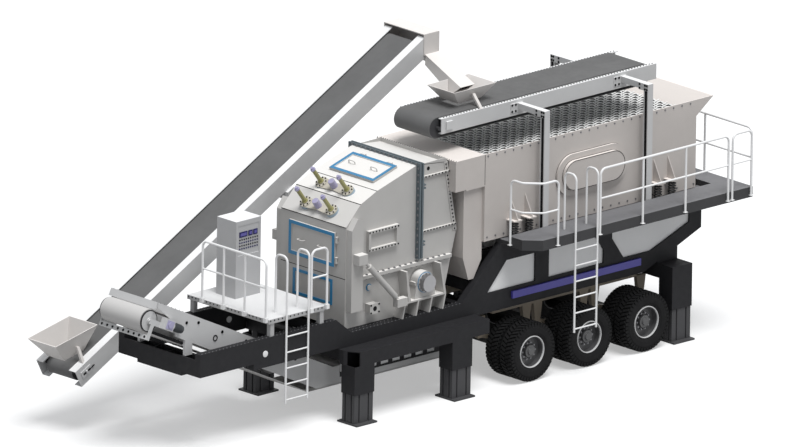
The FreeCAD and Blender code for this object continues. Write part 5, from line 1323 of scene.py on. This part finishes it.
@dataclass
class HousingTrim:
    """Seams, the roof's rear lip, edge flanges, holes, blocks, rings, rib bolts and the lower blue frame."""

    half: float = 0.820
    seam: float = 0.008
    roof_joints: Profile = ((3.350, 2.040), (3.700, 2.400), (4.090, 2.570))
    lip_side: Profile = ((5.141, 2.840), (5.141, 2.852), (5.746, 2.857), (5.788, 2.780), (5.780, 2.770))
    edge_flange: Profile = ((5.788, 2.780), (6.029, 1.490), (5.940, 1.490), (5.700, 2.780))
    wall_rows: Tuple[Tuple[float, ...], ...] = ((5.16, 5.80, 0.855, 2.610), (5.16, 5.97, 0.855, 1.615),
                                                (3.87, 4.56, 0.890, 1.858), (3.87, 4.56, 0.890, 1.532))
    frame_x: Tuple[float, float] = (3.338, 3.351)
    frame_strips: Tuple[Tuple[float, ...], ...] = ((-0.50, 0.50, 0.550, 0.600), (-0.50, 0.50, 0.970, 1.020),
                                                   (-0.50, -0.45, 0.600, 0.970), (0.45, 0.50, 0.600, 0.970))
    clamp_heights: Tuple[float, ...] = (1.375, 1.435, 2.415, 2.475)
    blocks: Tuple[Tuple[Point, Point], ...] = (((3.84, 0.819, 0.400), (4.04, 0.960, 0.560)),
                                               ((3.82, 0.960, 0.385), (4.06, 0.973, 0.575)))

    def roof(self) -> None:
        """Dark lines where the roof plates meet and on the front, and a bolted lip along the roof's rear."""
        seams, lip = Draft(), Draft()
        for x, z in self.roof_joints:
            seams.box((x - self.seam, -self.half, z - self.seam), (x + self.seam, self.half, z + 0.002))
        seams.box((3.3485, -self.half, 1.083), (3.352, self.half, 1.095))
        seams.put("roof_seams", DARK_PAINT_AND_SHADE, "crusher_paint")
        lip.box((5.722, -self.half + 0.012, 2.760), (5.734, self.half - 0.012, 2.857))
        for side in Side:
            lip.prism([Vector((x, side.value * self.half, z)) for x, z in self.lip_side], side.out * -0.012)
        lip.put("roof_upstand", CRUSHER_GREY, "crusher_paint")
        bolt_lines("upstand_bolts", [((5.728, -0.80, 2.857), (5.728, 0.80, 2.857), (0, 0, 1))],
                   Bolting(0.055, 0.008, 0.010, 1.0))

    def fixings(self) -> None:
        """Lifting holes high on the rear side walls and clamps behind the flange."""
        holes, clamps = Draft(), Draft()
        # Painted shade: the lifting holes are thin dark discs that stand for the shade inside them.
        holes.disc(Vector((5.33, 0.8195, 2.740)), ACROSS, 0.036, 0, 0.002, 24)
        holes.put("lifting_holes", DARK_PAINT_AND_SHADE, "crusher_paint", both=True)
        for z in self.clamp_heights:
            clamps.box((5.139, 0.840, z), (5.196, 0.912, z + 0.030))
        clamps.put("flange_clamps", FLANGE_SLATE, "crusher_paint", bevel=0.003, both=True)

    def walls(self) -> None:
        """Flanges down the rear edges of the side walls, and rows of bolts."""
        flanges = Draft()
        flanges.prism([Vector((x, self.half - 0.001, z)) for x, z in self.edge_flange], ACROSS * 0.013)
        flanges.put("wall_edge_flanges", CRUSHER_GREY, "crusher_paint", both=True)
        y = self.half + 0.012
        lines = [((5.746, y, 2.74), (5.978, y, 1.52), ACROSS)] + [row(*line, ACROSS) for line in self.wall_rows]
        bolt_lines("wall_bolts", lines, Bolting(0.072, 0.011, 0.012), both=True)

    def base(self) -> None:
        """A bolted block and a pin boss low on each side, and blue rings round pin and shaft."""
        pale, dark, blue = Draft(), Draft(), Draft()
        pin = Vector((3.92, 0.819, 0.840))
        for low, high in self.blocks:
            pale.box(low, high)
        pale.disc(pin, ACROSS, 0.050, 0, 0.034, 28)
        # Painted shade: a thin dark disc stands for the shade in the block's hole.
        dark.disc(Vector((3.94, 0.972, 0.480)), ACROSS, 0.045, 0, 0.003, 24)
        blue.ring(pin, ACROSS, (0.050, 0.064), 0, 0.014, 28)
        blue.ring(Vector((5.12, 1.004, 0.740)), ACROSS, (0.176, 0.185), 0, 0.007, 48)
        pale.put("side_blocks", CRUSHER_GREY, "crusher_paint", both=True)
        dark.put("side_block_holes", DARK_PAINT_AND_SHADE, "crusher_paint", both=True)
        blue.put("pin_and_bearing_rings", DOOR_BLUE, "crusher_paint", both=True)
        bolts = [row(x, x, 0.973, z, ACROSS) for x in (3.845, 4.035) for z in (0.410, 0.550)]
        bolt_lines("side_block_bolts", bolts, Bolting(0.5, 0.013, 0.012), both=True)

    def build(self) -> None:
        """Build the trim of the housing, and a blue frame round the inspection plate low on its front."""
        self.base()
        self.fixings()
        self.roof()
        self.walls()
        strips = Draft()
        for y0, y1, z0, z1 in self.frame_strips:
            strips.box((self.frame_x[0], y0, z0), (self.frame_x[1], y1, z1))
        strips.put("lower_front_frame", DOOR_BLUE, "crusher_paint")


@dataclass
class CabinetFittings:
    """One wide and two small displays over four rows of buttons on the control cabinet."""

    face: float = 0.278
    displays: Profile = ((1.810, 2.005), (2.025, 2.130), (2.145, 2.250))
    low: float = 1.905
    high: float = 2.005
    frame: float = 0.024
    button_ends: Tuple[float, float] = (1.825, 2.245)
    button_rows: Tuple[float, ...] = (1.860, 1.805, 1.750, 1.695)

    def build(self) -> None:
        """Build the panel's fittings."""
        frames, screens = Draft(), Draft()
        for x0, x1 in self.displays:
            frames.box((x0, self.face - 0.010, self.low), (x1, self.face + 0.001, self.high))
            screens.box((x0 + self.frame, self.face - 0.013, self.low + self.frame),
                        (x1 - self.frame, self.face - 0.009, self.high - self.frame))
        frames.put("display_frames", BUTTON_NAVY, "cabinet_paint", bevel=0.004)
        screens.put("display_screens", SCREEN_BLUE, "cabinet_paint")
        for index, z in enumerate(self.button_rows):
            bolt_lines(f"button_row_{index + 1}", [row(*self.button_ends, self.face, z, (0, -1, 0))],
                       Bolting(0.047, 0.015, 0.010, 1.0), BUTTON_NAVY if index % 2 else DARK_PAINT_AND_SHADE)


@dataclass
class RailFeet:
    """Clamps and foot plates of the railing posts, and bolts along the low platform's edge."""

    half: float = 0.036
    clamp_height: float = 0.085
    plate_height: float = 0.010
    platform: float = 0.750
    walkway: float = 1.140
    front_posts: Tuple[float, ...] = (-0.980, -0.440, 0.100, 0.640)
    side_posts: Tuple[float, ...] = (2.300, 2.680)
    walkway_posts: Tuple[float, ...] = (7.500, 8.520, 9.553, 10.587, 11.620, 11.720, 12.180)
    edge: float = 0.775

    def build(self) -> None:
        """Build clamps on the low platform, plates on the walkway and the bolts."""
        clamps = [(1.279, y) for y in self.front_posts] + [(x, -1.061) for x in self.side_posts]
        plates = [(6.879, 1.310), (12.261, 1.790), (12.261, 0.597)] + [(x, 1.871) for x in self.walkway_posts]
        plates += [(x, -y) for x, y in plates]
        draft = Draft()
        for spots, z, height in ((clamps, self.platform, self.clamp_height),
                                 (plates, self.walkway, self.plate_height)):
            for x, y in spots:
                draft.box((x - self.half, y - self.half, z), (x + self.half, y + self.half, z + height))
        draft.put("rail_feet", RAIL_PALE, "rail_paint", bevel=0.002)
        bolt_lines("platform_edge_bolts", [((1.299, -1.00, self.edge), (1.299, 1.00, self.edge), (-1, 0, 0)),
                                           row(1.34, 2.68, -1.040, self.edge, (0, -1, 0))],
                   Bolting(0.09, 0.010, 0.010))


@dataclass
class ScreenTrim:
    """Bolt rows on the screen box, its hood and the upper conveyor, and seams of the exciter covers."""

    cover: Tuple[float, float] = (9.100, 2.030)
    cover_steps: Tuple[Point, ...] = ((1.700, 0.760, 1.012), (1.462, 0.547, 1.055), (1.450, 0.535, 1.119))
    seam: float = 0.006
    arc_steps: int = 14
    hood_x: Tuple[float, float] = (6.524, 6.534)
    side_rows: Tuple[Tuple[float, ...], ...] = ((6.60, 11.50, 1.010, 2.755), (6.60, 11.60, 1.010, 1.270))

    def stadium(self, length: float, width: float, y: float) -> List[Vector]:
        """The closed outline of a plate with round ends, on the plane at y.

        Args:
            length: whole length.
            width: width, twice the radius of the ends.
            y: place across.

        Returns:
            The points, with the first one again at the end.
        """
        reach, radius = (length - width) / 2, width / 2
        points = []
        for end in (1, -1):
            for step in range(self.arc_steps + 1):
                angle = math.pi * (step / self.arc_steps - 0.5)
                points.append(Vector((self.cover[0] + end * (reach + radius * math.cos(angle)), y,
                                      self.cover[1] + end * radius * math.sin(angle))))
        return points + points[:1]

    def build(self) -> None:
        """Build the seams and rows."""
        seams = Draft()
        for side in Side:
            for length, width, y in self.cover_steps:
                seams.tube(self.stadium(length, width, side.value * y), self.seam, 6)
            seams.box((self.hood_x[0], side.value * 1.0095, 2.245), (self.hood_x[1], side.value * 1.0115, 2.795))
        seams.put("screen_seams", DARK_PAINT_AND_SHADE, "screen_paint")
        bolt_lines("hood_edge_bolts", [((5.832, -1.00, 2.800), (5.832, 1.00, 2.800), (0, 0, 1))],
                   Bolting(0.058, 0.008, 0.010, 1.0))
        bolt_lines("screen_side_bolts", [row(*line, ACROSS) for line in self.side_rows],
                   Bolting(0.20, 0.013, 0.012), BOLT_STEEL, both=True)
        bolt_lines("upper_channel_bolts", [row(6.00, 11.05, 0.490, 3.460, (0, 0, 1))],
                   Bolting(0.07, 0.012, 0.010, 1.0), both=True)


@dataclass
class PortalTrim:
    """Flanges on the portal posts with painted shade on the webs between them, plates at both ends of their arms, and
    bolts.
    """

    post_x: Tuple[float, float] = (7.8, 10.3)
    post_y: float = 1.190
    half: float = 0.055
    web_half: float = 0.034
    foot: float = 1.190
    top: float = 3.400
    plate_height: float = 0.128
    plate_reach: float = 0.190
    flange: float = 0.008
    post_bolts: Profile = tuple((y, z) for y in (1.215, 1.165, 1.030) for z in (3.300, 3.370))
    channel: Tuple[float, float] = (0.529, 0.542)
    channel_x: Tuple[float, float] = (-0.215, 0.085)
    channel_z: Tuple[float, float] = (3.235, 3.405)
    channel_bolts: Profile = tuple((x, z) for x in (-0.185, -0.100, 0.065) for z in (3.262, 3.378))

    def build(self) -> None:
        """Build the trim of all four posts."""
        pale, dark = Draft(), Draft()
        bolts = []
        end = self.top - self.plate_height - 0.002
        y = self.post_y
        for x in self.post_x:
            for face in (-1, 1):
                inner, outer = x + face * (self.half - 0.001), x + face * (self.half + self.flange)
                # Painted shade: the web between the pale flanges is dark, standing for the shade in the recess.
                dark.box((inner, y - self.web_half, self.foot),
                         (x + face * (self.half + 0.001), y + self.web_half, end))
                for edge in (-1, 1):
                    pale.box((inner, y + edge * self.web_half, self.foot), (outer, y + edge * self.half, end))
                pale.box((inner, y + self.half, self.top - self.plate_height), (outer, y - self.plate_reach, self.top))
                bolts += [((outer, side.value * y_bolt, z), (outer, side.value * y_bolt + 0.001, z), (face, 0, 0))
                          for y_bolt, z in self.post_bolts for side in Side]
            pale.box(*((x + at, y_plate, z) for at, y_plate, z in zip(self.channel_x, self.channel, self.channel_z)))
            bolts += [row(x + at, x + at, side.value * self.channel[1], z, side.out)
                      for at, z in self.channel_bolts for side in Side]
        pale.put("portal_flanges_and_plates", FRAME_GREY, "conveyor_paint", bevel=0.001, both=True)
        dark.put("portal_post_webs", DARK_PAINT_AND_SHADE, "conveyor_paint", both=True)
        bolt_lines("portal_bolts", bolts, Bolting(0.5, 0.015, 0.012))


@dataclass
class FrameTrim:
    """Bosses and bolt rows on the girders, belt take-ups, and slotted rails under the crusher."""

    incline: Incline = Incline(-0.930, -0.530, 28.2)
    webs: Tuple[Tuple[float, int], ...] = ((1.350, -1), (2.350, 1))
    take_up: Tuple[Tuple[float, ...], ...] = ((0.090, 0.350, 0.110, 0.250, 0.012),
                                              (0.200, 0.240, 0.150, 0.210, 0.026))
    screw: Tuple[Tuple[float, ...], ...] = ((0.130, 0.310, 0.160, 0.200, 0.014),
                                            (0.240, 0.420, 0.174, 0.186, 0.022))
    plate_half: float = 0.600
    plate_inner: float = 0.588
    slot_start: float = 3.620
    slot_length: float = 0.180
    slot_pitch: float = 0.280
    slot_count: int = 8
    slot_heights: Tuple[float, float] = (-0.728, -0.648)
    band_heights: Tuple[float, float] = (-0.765, -0.550)
    band_ends: Tuple[float, float] = (3.465, 6.115)
    bosses: Tuple[Point, ...] = ((1.22, 1.04, 1), (2.19, 0.90, -1))
    boss_height: float = 0.20
    boss_profile: Profile = ((0, -0.002), (0.058, -0.002), (0.058, 0.012), (0.040, 0.016), (0, 0.016))
    girder_edges: Tuple[float, float] = (0.918, 1.022)
    girder_rows: Tuple[Point, ...] = ((-0.30, 2.90, 0.480), (3.36, 5.95, 0.180))

    def take_ups(self) -> None:
        """A slotted plate with its screw on each web of the return conveyor's tail."""
        plates, slots = Draft(), Draft()
        for y, out in self.webs:
            for draft, shapes in ((plates, self.take_up), (slots, self.screw)):
                for a0, a1, r0, r1, depth in shapes:
                    draft.prism(self.incline.outline((a0, a1), (r0, r1), y - out * 0.001), ACROSS * out * depth)
        plates.put("take_up_plates", FRAME_GREY, "conveyor_paint")
        # Painted shade: the first dark shape is the slot, near black for the shade through it; the second is the
        # screw.
        slots.put("take_up_slots", DARK_PAINT_AND_SHADE, "conveyor_paint")

    def slotted_rails(self) -> None:
        """A dark rail round the slots of each level plate and a pale strip behind them."""
        dark, pale = Draft(), Draft()
        low, high = self.slot_heights
        bottom, top = self.band_heights
        starts = [self.slot_start + self.slot_pitch * index for index in range(self.slot_count)]
        ends = [start + self.slot_length for start in starts]
        solid = zip([self.band_ends[0]] + ends, starts + [self.band_ends[1]])
        bars = [(*self.band_ends, bottom, low), (*self.band_ends, high, top)]
        bars += [(x0, x1, low, high) for x0, x1 in solid]
        for x0, x1, z0, z1 in bars:
            dark.box((x0, self.plate_half - 0.0005, z0), (x1, self.plate_half + 0.003, z1))
        pale.box((starts[0] - 0.02, self.plate_inner - 0.004, low - 0.01),
                 (ends[-1] + 0.02, self.plate_inner + 0.0005, high + 0.01))
        dark.put("slotted_rails", CHARCOAL, "conveyor_paint", both=True)
        pale.put("slot_liners", BOSS_PALE, "conveyor_paint", both=True)

    def build(self) -> None:
        """Build the take-ups, slotted rails, bosses and rows."""
        self.take_ups()
        self.slotted_rails()
        bosses = Draft()
        for x, y, out in self.bosses:
            bosses.lathe(Vector((x, y, self.boss_height)), ACROSS * out, self.boss_profile, 32)
        bosses.put("girder_bosses", BOSS_PALE, "chassis_paint", smooth=True, both=True)
        rows = [row(x0, x1, y, z, (0, 0, 1)) for y in self.girder_edges for x0, x1, z in self.girder_rows]
        bolt_lines("girder_edge_bolts", rows, Bolting(0.085, 0.010, 0.010, 1.0), BOLT_STEEL,
                   both=True)


def main() -> None:
    """Build the looks in order."""
    logging.basicConfig(level=logging.INFO, format="%(message)s")
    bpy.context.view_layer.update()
    dress_nodes()
    wheels = [WheelEnd(axle, side) for axle in AXLES for side in Side]
    for assembly in wheels + [CrusherFittings(), ScreenFittings(), ConveyorHead(), RodFittings(),
                              HousingTrim(), CabinetFittings(), RailFeet(), ScreenTrim(), PortalTrim(),
                              FrameTrim()]:
        assembly.build()
    Studio().build()


if __name__ == "__main__":
    main()
